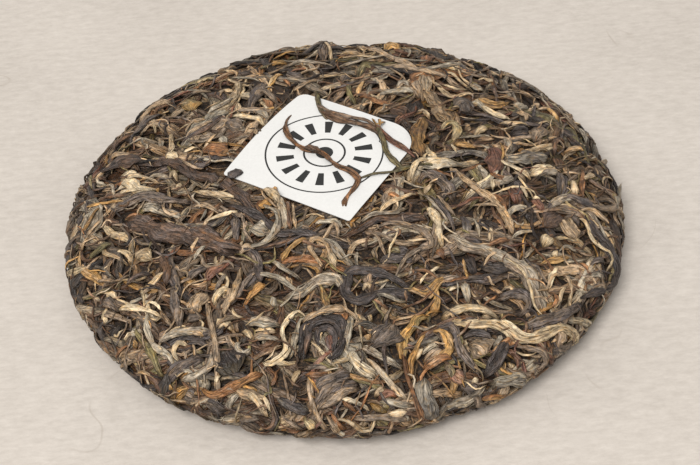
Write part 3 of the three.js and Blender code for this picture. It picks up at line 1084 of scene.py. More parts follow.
BACK_RIGHT_LEAVES = (
    shown(SLATE, 8, (505, 156), (515, 158), (530, 156), (548, 153), second=ASH),
    shown(RED_BROWN, 8, (492, 146), (495, 155), (495, 165), (492, 172)),
    shown(SLATE, 7, (562, 168), (563, 180), (562, 195), kind=RIBBED_LEAF),
    shown(SLATE, 6, (418, 178), (425, 172), (437, 175), (445, 185), (455, 195)),
    shown(CHARCOAL, 6, (510, 128), (520, 128), (532, 130)),
    shown(TAUPE, 8, (530, 127), (538, 130), (535, 138)),
    shown(OLIVE, 5, (470, 168), (475, 175), (480, 182)),
    shown(RED_BROWN, 6, (508, 185), (515, 192), (520, 200)),
    shown(UMBER, 5, (556, 152), (560, 158), (563, 164)),
    shown(TAUPE, 3, (550, 100), (562, 111), (573, 123), (585, 137), (597, 150), second=TAN),
    shown(UMBER, 3, (556, 150), (555, 142), (560, 137), (566, 138)),
    shown(ASH, 4, (480, 188), (490, 183), (500, 181), (515, 178)),
    shown(SLATE, 4.5, (431, 155), (445, 153), (460, 151), (473, 150), (483, 153), (488, 160), second=ASH),
    shown(ASH, 6, (411, 178), (415, 168), (425, 163), (440, 162), (455, 160), (482, 158), second=BONE,
        lightness=1.1),
    shown(TAN, 3, (452, 165), (458, 172), (463, 178), (478, 190), (487, 196), (495, 200), second=GOLDEN),
    shown(ASH, 4, (472, 161), (480, 170), (487, 177)),
    shown(STRAW, 2.6, (425, 140), (427, 147), (431, 153), (438, 156)),
    shown(OLIVE, 4, (441, 126), (448, 121), (455, 122), (458, 130), (452, 136), second=STRAW),
    shown(GOLDEN, 4, (452, 140), (460, 144), (470, 146), (476, 144)),
    shown(BONE, 2, (451, 142), (454, 148), (457, 151)),
    shown(STRAW, 4, (475, 132), (480, 128), (488, 123), lightness=1.1),
    shown(TAN, 5, (466, 124), (472, 123)),
    shown(TAN, 4, (525, 148), (520, 144), second=GOLDEN),
    shown(ASH, 3, (503, 135), (508, 142), (512, 148)),
    shown(ASH, 6, (515, 108), (522, 106), (528, 104)),
    shown(GOLDEN, 3.6, (566, 148), (575, 148), (585, 150)),
    shown(GOLDEN, 3, (545, 105), (553, 112), (562, 118), second=STRAW),
    shown(TAN, 3, (532, 100), (540, 105)),
    shown(ASH, 2, (578, 128), (582, 134), (587, 142)),
    shown(GOLDEN, 1.6, (500, 140), (503, 148), (503, 156), (501, 161)),
    shown(BONE, 2.6, (480, 106), (487, 110), (497, 114), (513, 116)),
    shown(STRAW, 1.8, (500, 120), (512, 122), (522, 122), (530, 124)),
    shown(BONE, 2.6, (499, 160), (505, 165), (515, 167), (525, 170), (532, 173)),
    shown(BONE, 5, (530, 170), (540, 168), (550, 166), (560, 167)),
    shown(ASH, 3, (540, 173), (552, 172), (560, 174)),
    shown(TAN, 3, (512, 171), (520, 173), (528, 176)),
    shown(RUST, 3, (490, 172), (500, 178), (505, 182)),
    shown(RUST, 2.6, (583, 165), (583, 175), (582, 185), (584, 198)),
    shown(STRAW, 3.6, (582, 180), (588, 178), (594, 173)),
    shown(STRAW, 4, (572, 180), (574, 187), (577, 194)),
    shown(GOLDEN, 3.4, (590, 187), (594, 193), (597, 198)),
    shown(BONE, 2, (492, 180), (493, 187)),
    shown(BONE, 2, (520, 184), (525, 190), (529, 196)),
    shown(BONE, 2, (533, 196), (542, 197)),
    shown(STRAW, 3, (425, 190), (430, 183), (432, 179)),
    shown(SLATE, 4, (548, 208), (565, 197), (584, 203), (605, 209)),
)
LEFT_LEAVES = (
    shown(SLATE, 11, (118, 214), (147, 225), (171, 232), (201, 237), (220, 245), (239, 247),
        kind=RIBBED_LEAF, second=UMBER),
    shown(SLATE, 5, (112, 208), (124, 204), (138, 199), (152, 197), (168, 200), (190, 197)),
    shown(ASH, 5, (139, 206), (150, 205), (162, 208), (172, 212), (182, 216), lightness=1.1),
    shown(STRAW, 7, (134, 256), (140, 252), (150, 256)),
    shown(SLATE, 6, (186, 276), (198, 268), (210, 262)),
    shown(UMBER, 5, (190, 229), (212, 240), (225, 245), (246, 248)),
    shown(SLATE, 4, (171, 253), (170, 262), (172, 272), (180, 292)),
    shown(UMBER, 4, (160, 254), (164, 262), (167, 272), (165, 282)),
    shown(GOLDEN, 4.5, (80, 268), (88, 273), (95, 276), (101, 283)),
    shown(OLIVE, 4, (84, 256), (94, 250), (110, 240), second=ASH),
    shown(ASH, 8, (250, 226), (258, 229), (268, 229), lightness=1.4),
    shown(SLATE, 4.5, (235, 214), (235, 225), (236, 239)),
    shown(ASH, 5, (268, 192), (277, 198), (282, 207), (283, 226), second=TAN),
    shown(RED_BROWN, 4, (235, 255), (222, 266), (212, 271), (205, 278)),
    shown(CHARCOAL, 4, (222, 200), (243, 209), (262, 217), (268, 223), (280, 232), (300, 233), (320, 234)),
    shown(UMBER, 3, (125, 283), (137, 274), (150, 270)),
    shown(UMBER, 2.5, (287, 198), (288, 212), (290, 226)),
    shown(ASH, 2.6, (246, 220), (244, 230), (242, 240), second=OLIVE),
    shown(ASH, 3, (261, 200), (268, 205), (276, 212), (279, 222), (276, 231), (268, 238), (258, 244),
        (246, 246)),
    shown(UMBER, 2.2, (100, 207), (95, 214), (88, 224), (80, 232), second=GOLDEN),
    shown(GOLDEN, 3, (281, 258), (288, 249), (297, 242), (308, 237), second=TAN),
    shown(STRAW, 3.2, (190, 188), (210, 194), (221, 198), (232, 198)),
    shown(TAN, 3, (193, 204), (203, 204), (212, 209), (219, 212)),
    shown(STRAW, 3, (113, 250), (121, 249), (128, 252), (130, 258)),
    shown(ASH, 2, (193, 259), (199, 253), (206, 247)),
    shown(ASH, 2.6, (264, 258), (274, 260), (283, 266), (292, 271), (302, 274)),
    shown(ASH, 3, (256, 275), (268, 274), (280, 277), (290, 284), (300, 289)),
    shown(RUST, 3.4, (242, 304), (252, 293), (265, 281), second=GOLDEN),
    shown(TAN, 2.8, (240, 264), (238, 280), (234, 294), (228, 306), kind=ROLLED_LEAF, second=OLIVE),
    shown(ASH, 2, (226, 272), (218, 283), (213, 292)),
    shown(GOLDEN, 1.6, (85, 209), (105, 204), (124, 202)),
    shown(RUST, 2, (124, 216), (134, 213), (145, 216), (155, 213), (160, 215)),
    shown(STRAW, 1.6, (160, 213), (165, 216), (169, 221), (174, 221)),
    shown(GOLDEN, 2.2, (79, 266), (79, 255), (82, 245), (87, 236)),
    shown(STRAW, 2.4, (143, 283), (152, 283), (160, 276), (165, 272)),
    shown(BONE, 2.2, (204, 222), (212, 219), (225, 215), (237, 211), kind=STEM),
    shown(TAN, 2, (293, 198), (293, 212), (296, 228)),
    shown(STRAW, 2, (217, 252), (215, 258), (218, 264)),
    shown(STRAW, 2, (222, 253), (223, 259), (220, 264)),
)
MIDDLE_LEAVES = (
    shown(SLATE, 9, (380, 258), (395, 256), (412, 252)),
    shown(UMBER, 4.6, (337, 238), (350, 232), (362, 226), (375, 219), (390, 216), (420, 215), (427, 217)),
    shown(CHARCOAL, 5, (420, 297), (405, 293), (390, 292), (378, 293), (366, 299), (356, 301), (348, 295),
        (345, 285), (346, 275), (352, 271), (362, 271), (375, 273), (390, 277), (405, 283), (415, 288)),
    shown(ASH, 6, (280, 294), (300, 291), (320, 280), (336, 279), (342, 286), lightness=1.1),
    shown(OLIVE, 3.4, (320, 284), (323, 292), (326, 300), (327, 308), second=RUST),
    shown(ASH, 4.5, (300, 318), (313, 316), (322, 312), (332, 309), (347, 306), second=TAN),
    shown(CHARCOAL, 5, (464, 251), (470, 262), (476, 272)),
    shown(SLATE, 7, (480, 262), (495, 266), (510, 268)),
    shown(GOLDEN, 5, (408, 286), (418, 290), (428, 292), (436, 285), (443, 280), (447, 282)),
    shown(GOLDEN, 3.4, (437, 288), (437, 300), (434, 308), (430, 312)),
    shown(TAUPE, 2.8, (371, 228), (383, 224), (397, 222), (412, 226), (424, 232), (430, 240), (430, 247),
        (418, 250), (407, 257), (400, 267), (396, 277)),
    shown(TAN, 3, (369, 231), (380, 234), (392, 238), (405, 241), (424, 240)),
    shown(TAN, 2.4, (323, 266), (317, 258), (311, 250), (310, 243), (314, 239), (321, 240), (328, 247),
        (334, 264), second=GOLDEN),
    shown(ASH, 3.4, (321, 240), (330, 243), (338, 250), (346, 257), (354, 266)),
    shown(TAN, 2.6, (348, 256), (350, 249), (353, 243), (360, 240), (374, 237), second=STRAW),
    shown(STRAW, 4, (329, 252), (333, 260), (335, 266)),
    shown(ASH, 2.6, (314, 222), (324, 221), (334, 221), (342, 226)),
    shown(TAN, 2.2, (334, 222), (338, 230), (337, 238)),
    shown(ASH, 2.4, (360, 218), (370, 214), (385, 212), (398, 208), (408, 202)),
    shown(STRAW, 2.4, (380, 211), (388, 204), (398, 200), (410, 194), (416, 192)),
    shown(GOLDEN, 1.8, (371, 211), (380, 209)),
    shown(TAN, 1.5, (371, 232), (378, 237), (382, 245), (386, 254)),
    shown(ASH, 1.8, (357, 246), (356, 256), (358, 264), (366, 267)),
    shown(BONE, 3.6, (427, 206), (433, 214), (438, 224), (439, 234), (443, 243)),
    shown(ASH, 2, (423, 192), (432, 202), (440, 211), (448, 222)),
    shown(SLATE, 2.2, (430, 195), (440, 206), (450, 218), (455, 228)),
    shown(TAUPE, 2, (436, 194), (446, 204), (456, 214)),
    shown(RUST, 3, (468, 249), (480, 246), (495, 242), (510, 238)),
    shown(ASH, 2, (512, 236), (520, 231), (530, 228), (538, 226)),
    shown(OLIVE, 3, (390, 250), (401, 250)),
    shown(ASH, 1.6, (412, 262), (410, 275)),
    shown(SLATE, 2, (418, 262), (414, 278)),
    shown(BONE, 1.8, (427, 272), (420, 281)),
    shown(BONE, 1.8, (440, 262), (432, 269), (425, 273)),
    shown(RUST, 1.4, (400, 306), (412, 302), (424, 298), (434, 290)),
    shown(ASH, 1.8, (375, 296), (388, 297), (400, 299), (410, 298)),
    shown(ASH, 1.4, (392, 302), (388, 310), (384, 318)),
    shown(STRAW, 3, (363, 288), (368, 285), (372, 288)),
    shown(GOLDEN, 1.6, (463, 258), (465, 268), (468, 278)),
)
RIGHT_LEAVES = (
    shown(TAUPE, 7, (444, 231), (458, 240), (470, 248), (485, 250), (500, 256), (515, 264), (527, 274),
        (535, 287), (541, 300), (545, 312), kind=RIBBED_LEAF, second=ASH),
    shown(UMBER, 9, (545, 225), (555, 217), (562, 211)),
    shown(TAN, 9, (562, 218), (570, 228), (578, 236), second=OLIVE),
    shown(CHARCOAL, 5, (584, 216), (598, 234), (606, 243), (613, 253), (617, 264), (616, 276), (611, 286),
        (604, 291)),
    shown(SLATE, 5, (530, 330), (545, 322), (560, 316), (575, 308), (585, 300)),
    shown(RED_BROWN, 4, (533, 197), (538, 205), (545, 210)),
    shown(ASH, 5, (549, 207), (556, 203), (563, 199), (573, 198)),
    shown(SLATE, 4, (565, 213), (575, 217), (583, 222)),
    shown(SLATE, 4, (461, 212), (466, 222), (468, 232), second=ASH),
    shown(TAUPE, 4, (600, 195), (612, 200), (614, 208), (600, 209), (590, 204)),
    shown(OLIVE, 3.5, (540, 252), (546, 256)),
    shown(STRAW, 6, (545, 242), (552, 236)),
    shown(SLATE, 4, (500, 295), (518, 293), (528, 297), (530, 305), (522, 312)),
    shown(CHARCOAL, 3, (582, 297), (595, 293), (606, 290)),
    shown(SLATE, 3, (590, 265), (600, 260), (607, 262)),
    shown(ASH, 2.6, (480, 292), (490, 298), (502, 301), (517, 307)),
    shown(TAUPE, 2.6, (480, 300), (492, 306), (505, 309), (518, 308)),
    shown(GOLDEN, 3.2, (541, 262), (552, 260), (562, 257), (571, 254)),
    shown(TAN, 3.6, (478, 190), (490, 196), (498, 204), (504, 213), (514, 230), second=GOLDEN),
    shown(TAN, 1.8, (470, 203), (482, 202), (492, 204), (500, 208)),
    shown(RUST, 2.2, (492, 193), (500, 200), (507, 209)),
    shown(ASH, 1.6, (473, 215), (478, 226), (480, 236)),
    shown(STRAW, 2, (480, 218), (486, 226), (495, 232)),
    shown(STRAW, 2, (490, 232), (489, 240)),
    shown(STRAW, 1.5, (505, 259), (516, 267), (524, 276), (530, 288), (533, 300), (538, 309), (545, 315)),
    shown(STRAW, 2, (580, 216), (587, 227), (594, 238), (602, 247), (609, 253), (613, 262), (611, 270),
        second=ASH),
    shown(ASH, 1.8, (592, 212), (598, 222), (605, 233), (618, 250)),
    shown(TAN, 2.6, (580, 210), (592, 210), (600, 214), (612, 222)),
    shown(ASH, 2, (560, 249), (567, 244), (578, 247), (590, 249)),
    shown(UMBER, 1.6, (537, 248), (543, 245), (552, 246), (560, 250)),
    shown(BONE, 4, (551, 252), (558, 255)),
    shown(ASH, 2.4, (521, 260), (528, 251), (534, 244), (537, 237)),
    shown(BONE, 2.4, (558, 266), (552, 275), (550, 287)),
    shown(STRAW, 2, (567, 286), (562, 291), (560, 300), (556, 306)),
    shown(ASH, 1.8, (543, 283), (545, 292), (550, 296)),
    shown(RUST, 2, (555, 292), (557, 300), (553, 306)),
    shown(RUST, 1.8, (580, 262), (588, 270)),
    shown(ASH, 2.4, (590, 277), (598, 275), (606, 279)),
    shown(STRAW, 2.6, (503, 287), (509, 286), (513, 292)),
    shown(STRAW, 4, (442, 313), (455, 309), (468, 306), (480, 308), (490, 312), (500, 316)),
    shown(ASH, 3.4, (463, 282), (467, 292), (469, 300)),
    shown(BONE, 1.6, (449, 290), (456, 287)),
    shown(RUST, 1.8, (450, 282), (463, 279), (470, 277)),
)
FRONT_LEFT_LEAVES = (
    shown(SLATE, 6, (160, 378), (172, 374), (182, 367), (203, 356)),
    shown(SLATE, 6, (185, 392), (195, 398)),
    shown(SLATE, 5, (205, 400), (215, 405), (225, 412)),
    shown(SLATE, 5, (100, 300), (110, 303), (117, 309)),
    shown(TAN, 8, (190, 310), (198, 300), (206, 292), second=RUST),
    shown(CHARCOAL, 12, (222, 345), (228, 360), (235, 372), second=OLIVE),
    shown(SLATE, 4, (172, 285), (174, 298), (177, 312), (180, 328), kind=ROLLED_LEAF),
    shown(SLATE, 4, (184, 317), (195, 316), (205, 314)),
    shown(TAUPE, 3.5, (102, 312), (112, 314), (128, 320)),
    shown(OLIVE, 2.4, (78, 299), (90, 294), (100, 290), (110, 287), second=TAN),
    shown(ASH, 3.6, (155, 343), (165, 339), (175, 334), (190, 332), (208, 329), second=TAUPE),
    shown(ASH, 3.4, (180, 380), (192, 378), (203, 372), (210, 364), (214, 350), second=TAUPE),
    shown(OLIVE, 3, (130, 322), (136, 333), (150, 350), (155, 360), (160, 382), second=TAUPE),
    shown(ASH, 2.8, (147, 312), (147, 325), (149, 337), (155, 347), (163, 352), (170, 357), (174, 366),
        second=TAN),
    shown(RUST, 4, (201, 388), (211, 395), (223, 393), (235, 385), (249, 378), (262, 371), second=GOLDEN),
    shown(SLATE, 3.4, (186, 343), (196, 342), (208, 344)),
    shown(TAN, 5, (222, 312), (230, 300), (234, 288)),
    shown(STRAW, 5, (216, 327), (224, 323), (232, 327)),
    shown(TAUPE, 3, (226, 332), (230, 342), (236, 350), (240, 360)),
    shown(SLATE, 4, (137, 380), (145, 387), (155, 391)),
    shown(STRAW, 4, (213, 305), (217, 297), (223, 291), (230, 290)),
    shown(TAN, 2.8, (216, 328), (222, 323), (232, 317), (240, 314)),
    shown(STRAW, 3, (104, 296), (113, 294), (115, 299)),
    shown(TAN, 2.5, (143, 293), (150, 288)),
    shown(TAUPE, 2, (158, 304), (161, 312), (166, 318), (172, 326)),
    shown(TAUPE, 2.6, (208, 303), (209, 316), (213, 331), (216, 346), (217, 366), (216, 378), (218, 391),
        kind=STEM),
    shown(STRAW, 2.4, (187, 345), (180, 342), (175, 347), (174, 354), (178, 360)),
    shown(TAN, 1.8, (181, 352), (186, 354), (185, 360)),
    shown(OLIVE, 3, (195, 352), (202, 349)),
    shown(TAN, 2.4, (193, 334), (203, 336), second=BONE),
    shown(BONE, 2.6, (118, 308), (128, 308), (138, 309), (148, 311), (160, 314)),
    shown(BONE, 1.8, (145, 304), (150, 302), (156, 304), (160, 309)),
    shown(ASH, 2, (128, 304), (136, 300), (143, 297)),
    shown(BONE, 1.8, (220, 374), (217, 378), (216, 383)),
    shown(GOLDEN, 3, (164, 381), (166, 388), (168, 393), second=STRAW),
    shown(BONE, 2, (110, 332), (115, 336), (118, 330), (121, 327)),
    shown(BONE, 2.4, (120, 340), (125, 334), (129, 330)),
    shown(GOLDEN, 3, (131, 343), (134, 341), (133, 348)),
    shown(RUST, 2, (127, 345), (120, 352), (116, 360)),
    shown(TAUPE, 1.8, (126, 353), (126, 363), (129, 374)),
    shown(GOLDEN, 1.8, (137, 374), (143, 372), (150, 375), (153, 380)),
    shown(STRAW, 1.6, (232, 305), (233, 312), (238, 316), (243, 315)),
    shown(ASH, 2.6, (240, 338), (236, 345), (240, 352), (247, 352), (250, 346)),
    shown(STRAW, 2.6, (240, 327), (247, 330), (252, 337)),
)
FRONT_LEAVES = (
    shown(ASH, 6, (246, 320), (258, 320), (270, 322), (280, 322)),
    shown(SLATE, 11, (372, 345), (385, 335), (395, 322)),
    shown(SLATE, 8, (425, 376), (423, 391), (429, 407), (431, 420), second=ASH),
    shown(SLATE, 6, (315, 407), (326, 396), (342, 386), (358, 380)),
    shown(SLATE, 6, (314, 390), (325, 384), (340, 376), (352, 373)),
    shown(TAUPE, 4, (318, 409), (330, 402), (345, 392), (360, 386)),
    shown(CHARCOAL, 5, (300, 358), (303, 345), (305, 330), (313, 322), (325, 319), (338, 322), (343, 333),
        (340, 348), (333, 357), (322, 357)),
    shown(CHARCOAL, 3.6, (318, 345), (318, 332), (328, 328), (335, 338), (333, 352)),
    shown(UMBER, 3, (305, 352), (308, 340), (311, 332)),
    shown(RED_BROWN, 3, (328, 335), (331, 350), second=SLATE),
    shown(ASH, 6, (349, 349), (352, 357), (359, 364), (368, 370), (378, 373), second=BONE),
    shown(ASH, 3, (348, 312), (350, 325), (348, 338), (346, 350)),
    shown(RUST, 3, (344, 312), (345, 318), (344, 323)),
    shown(TAN, 4, (303, 320), (312, 317), (325, 313), (338, 309), (347, 308), second=TAUPE),
    shown(ASH, 3.6, (360, 343), (372, 349), (385, 357), (403, 366)),
    shown(TAN, 2.8, (366, 355), (374, 363), (382, 372), (391, 383), (400, 393), (407, 398), second=ASH),
    shown(GOLDEN, 4.6, (428, 312), (418, 316), (413, 324), (406, 332), (403, 342), (403, 360),
        second=OLIVE),
    shown(GOLDEN, 2.6, (425, 333), (420, 340), (415, 350), (411, 360), (412, 370), (410, 378)),
    shown(BONE, 2.2, (423, 345), (419, 353), (416, 357)),
    shown(UMBER, 2.6, (404, 352), (406, 366), (409, 380), (413, 393), (417, 405), (424, 424), kind=STEM,
        second=RUST),
    shown(TAUPE, 3, (350, 417), (365, 418), (380, 417), (400, 418), (412, 420)),
    shown(OLIVE, 4, (303, 418), (310, 424), (315, 430), second=STRAW),
    shown(SLATE, 4, (275, 396), (285, 402), (297, 408), (310, 411), second=ASH),
    shown(TAUPE, 2, (278, 405), (283, 418), (293, 425), (303, 432)),
    shown(TAUPE, 2.4, (309, 377), (310, 390), (312, 402), (316, 414), (328, 435), kind=STEM),
    shown(TAN, 2.6, (325, 413), (331, 422), (337, 432), (342, 437)),
    shown(RUST, 2, (331, 413), (338, 424), (347, 434)),
    shown(ASH, 2.2, (341, 399), (352, 401), (362, 404), (370, 410), second=BONE),
    shown(RUST, 2, (342, 402), (350, 407), (357, 412)),
    shown(OLIVE, 2.6, (370, 401), (378, 408), (388, 412), second=GOLDEN),
    shown(ASH, 3.4, (380, 399), (392, 402), (405, 405), (412, 405)),
    shown(RED_BROWN, 3, (378, 399), (388, 392), (397, 396)),
    shown(STRAW, 3, (375, 395), (380, 390), (385, 388)),
    shown(TAN, 2.6, (388, 414), (398, 413), (407, 412), second=BONE),
    shown(UMBER, 2.6, (268, 383), (269, 395), (272, 408), (275, 420), (272, 428), (264, 431), (257, 428)),
    shown(STRAW, 3, (247, 391), (255, 398), (262, 408), (266, 417)),
    shown(BONE, 2, (263, 395), (267, 403), (270, 412)),
    shown(RUST, 2, (285, 434), (300, 434)),
    shown(UMBER, 2.6, (250, 359), (262, 354), (273, 349), (281, 343), second=TAN),
    shown(ASH, 3, (253, 337), (265, 337), (280, 340)),
    shown(TAN, 2.4, (252, 335), (262, 332), (276, 330)),
    shown(STRAW, 1.8, (254, 329), (265, 328), (275, 329)),
    shown(SLATE, 2.6, (300, 366), (315, 366), (330, 368)),
    shown(UMBER, 3, (305, 374), (318, 376), (330, 373), second=RUST),
    shown(STRAW, 2.6, (299, 367), (294, 375), (291, 382)),
    shown(STRAW, 2.4, (262, 362), (275, 361), (290, 362), (297, 357)),
    shown(STRAW, 2.4, (333, 363), (343, 361), (350, 360)),
    shown(STRAW, 2.4, (369, 313), (371, 318)),
    shown(GOLDEN, 2.4, (367, 331), (369, 337)),
    shown(ASH, 2.4, (306, 318), (300, 320), (297, 328), (294, 338), (292, 348), (287, 356)),
    shown(BONE, 3.2, (306, 316), (298, 310), (292, 314), (286, 321), (282, 329), (284, 338), (287, 347),
        (284, 354), (276, 361), (268, 365), (262, 361), kind=BUD),
)
FRONT_RIGHT_LEAVES = (
    shown(SLATE, 4.6, (524, 326), (532, 324), (545, 320), (558, 316), (572, 309)),
    shown(CHARCOAL, 6, (507, 339), (502, 350), (497, 360), (489, 371), (485, 376)),
    shown(TAN, 9, (470, 343), (480, 348), (487, 354)),
    shown(TAUPE, 3, (462, 335), (458, 345), (462, 355), (472, 364), (480, 372)),
    shown(SLATE, 3.4, (448, 322), (455, 330), (460, 350), (467, 360), (476, 370)),
    shown(SLATE, 3, (463, 336), (473, 331), (485, 333), (493, 338)),
    shown(ASH, 6, (493, 384), (503, 382), (515, 380), (528, 378), second=SLATE),
    shown(RED_BROWN, 6, (452, 370), (460, 378), (467, 380), second=TAN),
    shown(SLATE, 4, (462, 388), (470, 386), (479, 381)),
    shown(ASH, 4, (488, 385), (480, 393), (472, 399), (462, 404), (445, 410), second=TAUPE),
    shown(GOLDEN, 4, (434, 330), (441, 331), (447, 338), (450, 347), (448, 353), (440, 357), (428, 363)),
    shown(ASH, 2.6, (423, 352), (430, 346), (437, 343), (440, 344), second=BONE),
    shown(TAUPE, 3, (424, 358), (433, 353), (443, 350)),
    shown(RUST, 4, (424, 366), (433, 362), (443, 358), (452, 357), second=TAN),
    shown(OLIVE, 3, (445, 362), (450, 370), (452, 378)),
    shown(RUST, 2.6, (483, 401), (492, 398), (502, 396), (508, 394), second=GOLDEN),
    shown(BONE, 1.6, (464, 405), (469, 406)),
    shown(BONE, 2, (472, 382), (479, 378)),
    shown(ASH, 2, (494, 346), (500, 338), (502, 333)),
    shown(GOLDEN, 2, (506, 360), (505, 370)),
    shown(STRAW, 3, (512, 368), (513, 360)),
    shown(TAUPE, 3, (515, 345), (530, 348), (542, 352), (545, 362), (538, 370), second=UMBER),
    shown(RED_BROWN, 2, (512, 352), (518, 360), (519, 368)),
    shown(GOLDEN, 2, (553, 342), (557, 338)),
    shown(STRAW, 5, (443, 314), (455, 320), (470, 323), (485, 323), (497, 324), (507, 329), (515, 336),
        (524, 339), (535, 338), (548, 333), (560, 328), (570, 330), (577, 338), (575, 345), (567, 352)),
    shown(BONE, 2.4, (500, 320), (508, 324), (516, 331), (524, 336), (535, 336)),
)
SHOWN_LEAVES = {
    "back_leaves": BACK_LEAVES,
    "back_left_leaves": BACK_LEFT_LEAVES,
    "back_right_leaves": BACK_RIGHT_LEAVES,
    "left_leaves": LEFT_LEAVES,
    "middle_leaves": MIDDLE_LEAVES,
    "right_leaves": RIGHT_LEAVES,
    "front_left_leaves": FRONT_LEFT_LEAVES,
    "front_leaves": FRONT_LEAVES,
    "front_right_leaves": FRONT_RIGHT_LEAVES,
}

OVER_TICKET = (
    Shown(OLIVE, 1.9, ((315, 88), (318, 100), (321, 110), (328, 118)), kind=STEM, lightness=0.5),
    Shown(UMBER, 3.4, ((320, 111), (330, 117), (345, 121), (360, 124), (373, 128), (382, 134)),
          kind=ROLLED_LEAF, lightness=0.8),
    Shown(TAUPE, 1.8, ((318, 105), (330, 113), (348, 117), (368, 123), (379, 130)), kind=STEM, second=UMBER),
    Shown(RED_BROWN, 2.4, ((374, 126), (384, 134), (394, 142), (404, 148), (415, 154)), kind=STEM,
          second=UMBER, lightness=0.75),
    Shown(OLIVE, 2.4, ((377, 129), (383, 140), (386, 151), (394, 160), (404, 167)), kind=STEM, lightness=0.6),
    Shown(GOLDEN, 1.4, ((372, 119), (377, 127), (385, 121)), kind=SLIVER),
    Shown(GOLDEN, 1.4, ((379, 118), (380, 128)), kind=SLIVER),
    Shown(OLIVE, 1.4, ((361, 176), (375, 173), (390, 171), (410, 167), (432, 165)), kind=STEM,
          lightness=0.55),
    Shown(STRAW, 2.6, ((410, 176), (414, 168), (421, 162), (430, 160)), kind=SLIM_LEAF, second=TAN),
    Shown(GOLDEN, 5.6, ((423, 116), (419, 130), (418, 143), (422, 155)), kind=BROAD_LEAF, second=UMBER),
    Shown(SLATE, 4.4, ((228, 178), (236, 173), (241, 168)), kind=BROAD_LEAF, second=CHARCOAL),
    Shown(GOLDEN, 2.2, ((279, 197), (275, 190), (274, 184)), kind=BUD, second=RUST),
    Shown(TAN, 3.4, ((263, 187), (272, 194), (279, 203)), kind=SLIM_LEAF, second=STRAW),
)
LOOSE_STRAND = (
    Shown(UMBER, 2.2, ((293, 113), (287, 119), (285, 127), (288, 135), (294, 142), (300, 147), (308, 150),
                       (318, 151), (325, 155), (331, 161), (338, 166), (347, 170), (354, 174), (358, 179),
                       (356, 186), (351, 191), (346, 197), (344, 203), (346, 208)),
          kind=replace(STEM, folds=(2, 2), tip=0.8), second=RUST, blend=0.6, flatness=0.9, lightness=0.85,
          high=0.25),
    Shown(CHARCOAL, 3.6, ((305, 147), (312, 151), (322, 152)), kind=BUD, second=UMBER),
)


@dataclass
class Ticket:
    """The square paper ticket, bedded in the top, in millimetres and degrees."""

    skin: Skin
    side: float = 52.8
    centre: Pair = (-4.9, 18.1)
    turn: float = -34.0
    level: float = -0.8
    thickness: float = 0.25
    cells: int = 60
    rounding: tuple[float, float, float, float] = (1.0, 0.8, 3.0, 13.0)
    bulge: float = 1.5
    wave_size: float = 22.0
    wave_height: float = 0.5
    laid_from: float = 30.0

    def depth_inside(self, flat: Array) -> Array:
        """Gives how far places on the top's map lie inside the ticket's edge.

        Args:
            flat: The places.

        Returns:
            The distances, negative outside.
        """
        turn = math.radians(-self.turn)
        away = flat - np.array(self.centre)
        x = away[..., 0] * math.cos(turn) - away[..., 1] * math.sin(turn)
        y = away[..., 0] * math.sin(turn) + away[..., 1] * math.cos(turn)
        return self.side / 2 - np.maximum(np.abs(x), np.abs(y))

    def worn(self, x: float, y: float) -> Pair:
        """Moves a point of the square to where the worn sheet has it: round corners, one bulging edge.

        Args:
            x: Across the square from its middle.
            y: Up the square from its middle.

        Returns:
            The moved point.
        """
        round_off = self.rounding[(x > 0) + 2 * (y > 0)]
        over_x, over_y = (abs(part) - self.side / 2 + round_off for part in (x, y))
        if min(over_x, over_y) > 0:
            pull = 1 - max(over_x, over_y) / math.hypot(over_x, over_y)
            x -= math.copysign(over_x * pull, x)
            y -= math.copysign(over_y * pull, y)
        edge = max(0.0, -2 * x / self.side) ** 4
        return x - self.bulge * edge * (1 - (2 * y / self.side) ** 2), y

    def build(self, material: Material) -> Piece:
        """Lays a fine sheet on the pressed top and gives it its thickness.

        Args:
            material: The printed paper.

        Returns:
            The piece.
        """
        form = pressed_form("ticket_form", self.skin, -self.level, 160)
        deselect()
        x, y = self.centre
        bpy.ops.mesh.primitive_grid_add(
            x_subdivisions=self.cells, y_subdivisions=self.cells, size=self.side * MM, calc_uvs=True,
            location=(x * MM, y * MM, self.laid_from * MM), rotation=(0, 0, math.radians(self.turn)),
        )
        paper = bpy.context.object
        paper.name = paper.data.name = "ticket_paper"
        for vertex in paper.data.vertices:
            vertex.co.xy = [part * MM for part in self.worn(vertex.co.x / MM, vertex.co.y / MM)]
        bpy.ops.object.transform_apply(location=True, rotation=True, scale=True)
        wrap = paper.modifiers.new("lie", "SHRINKWRAP")
        wrap.target = form
        wrap.wrap_method = "PROJECT"
        wrap.use_project_z = True
        wrap.use_negative_direction = True
        wave = paper.modifiers.new("wave", "DISPLACE")
        wave.texture = clouds("paper_waves", self.wave_size * MM)
        wave.texture_coords = "LOCAL"
        wave.direction = "Z"
        wave.strength = self.wave_height * MM
        thick = paper.modifiers.new("thickness", "SOLIDIFY")
        thick.thickness = self.thickness * MM
        thick.offset = -1
        apply_modifiers(paper)
        bpy.data.objects.remove(form)
        smooth(paper, 40)
        dress(paper, material)
        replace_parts(paper, TICKET_NODE)
        return paper


def deselect() -> None:
    """Leaves object mode ready with nothing selected."""
    if bpy.context.object and bpy.context.object.mode != "OBJECT":
        bpy.ops.object.mode_set(mode="OBJECT")
    bpy.ops.object.select_all(action="DESELECT")


def clouds(name: str, size: float) -> bpy.types.Texture:
    """Makes a soft noise texture for a displacement.

    Args:
        name: Its name.
        size: The size of its lumps, in metres.

    Returns:
        The texture.
    """
    texture = bpy.data.textures.new(name, "CLOUDS")
    texture.noise_scale = size
    texture.noise_depth = 2
    return texture


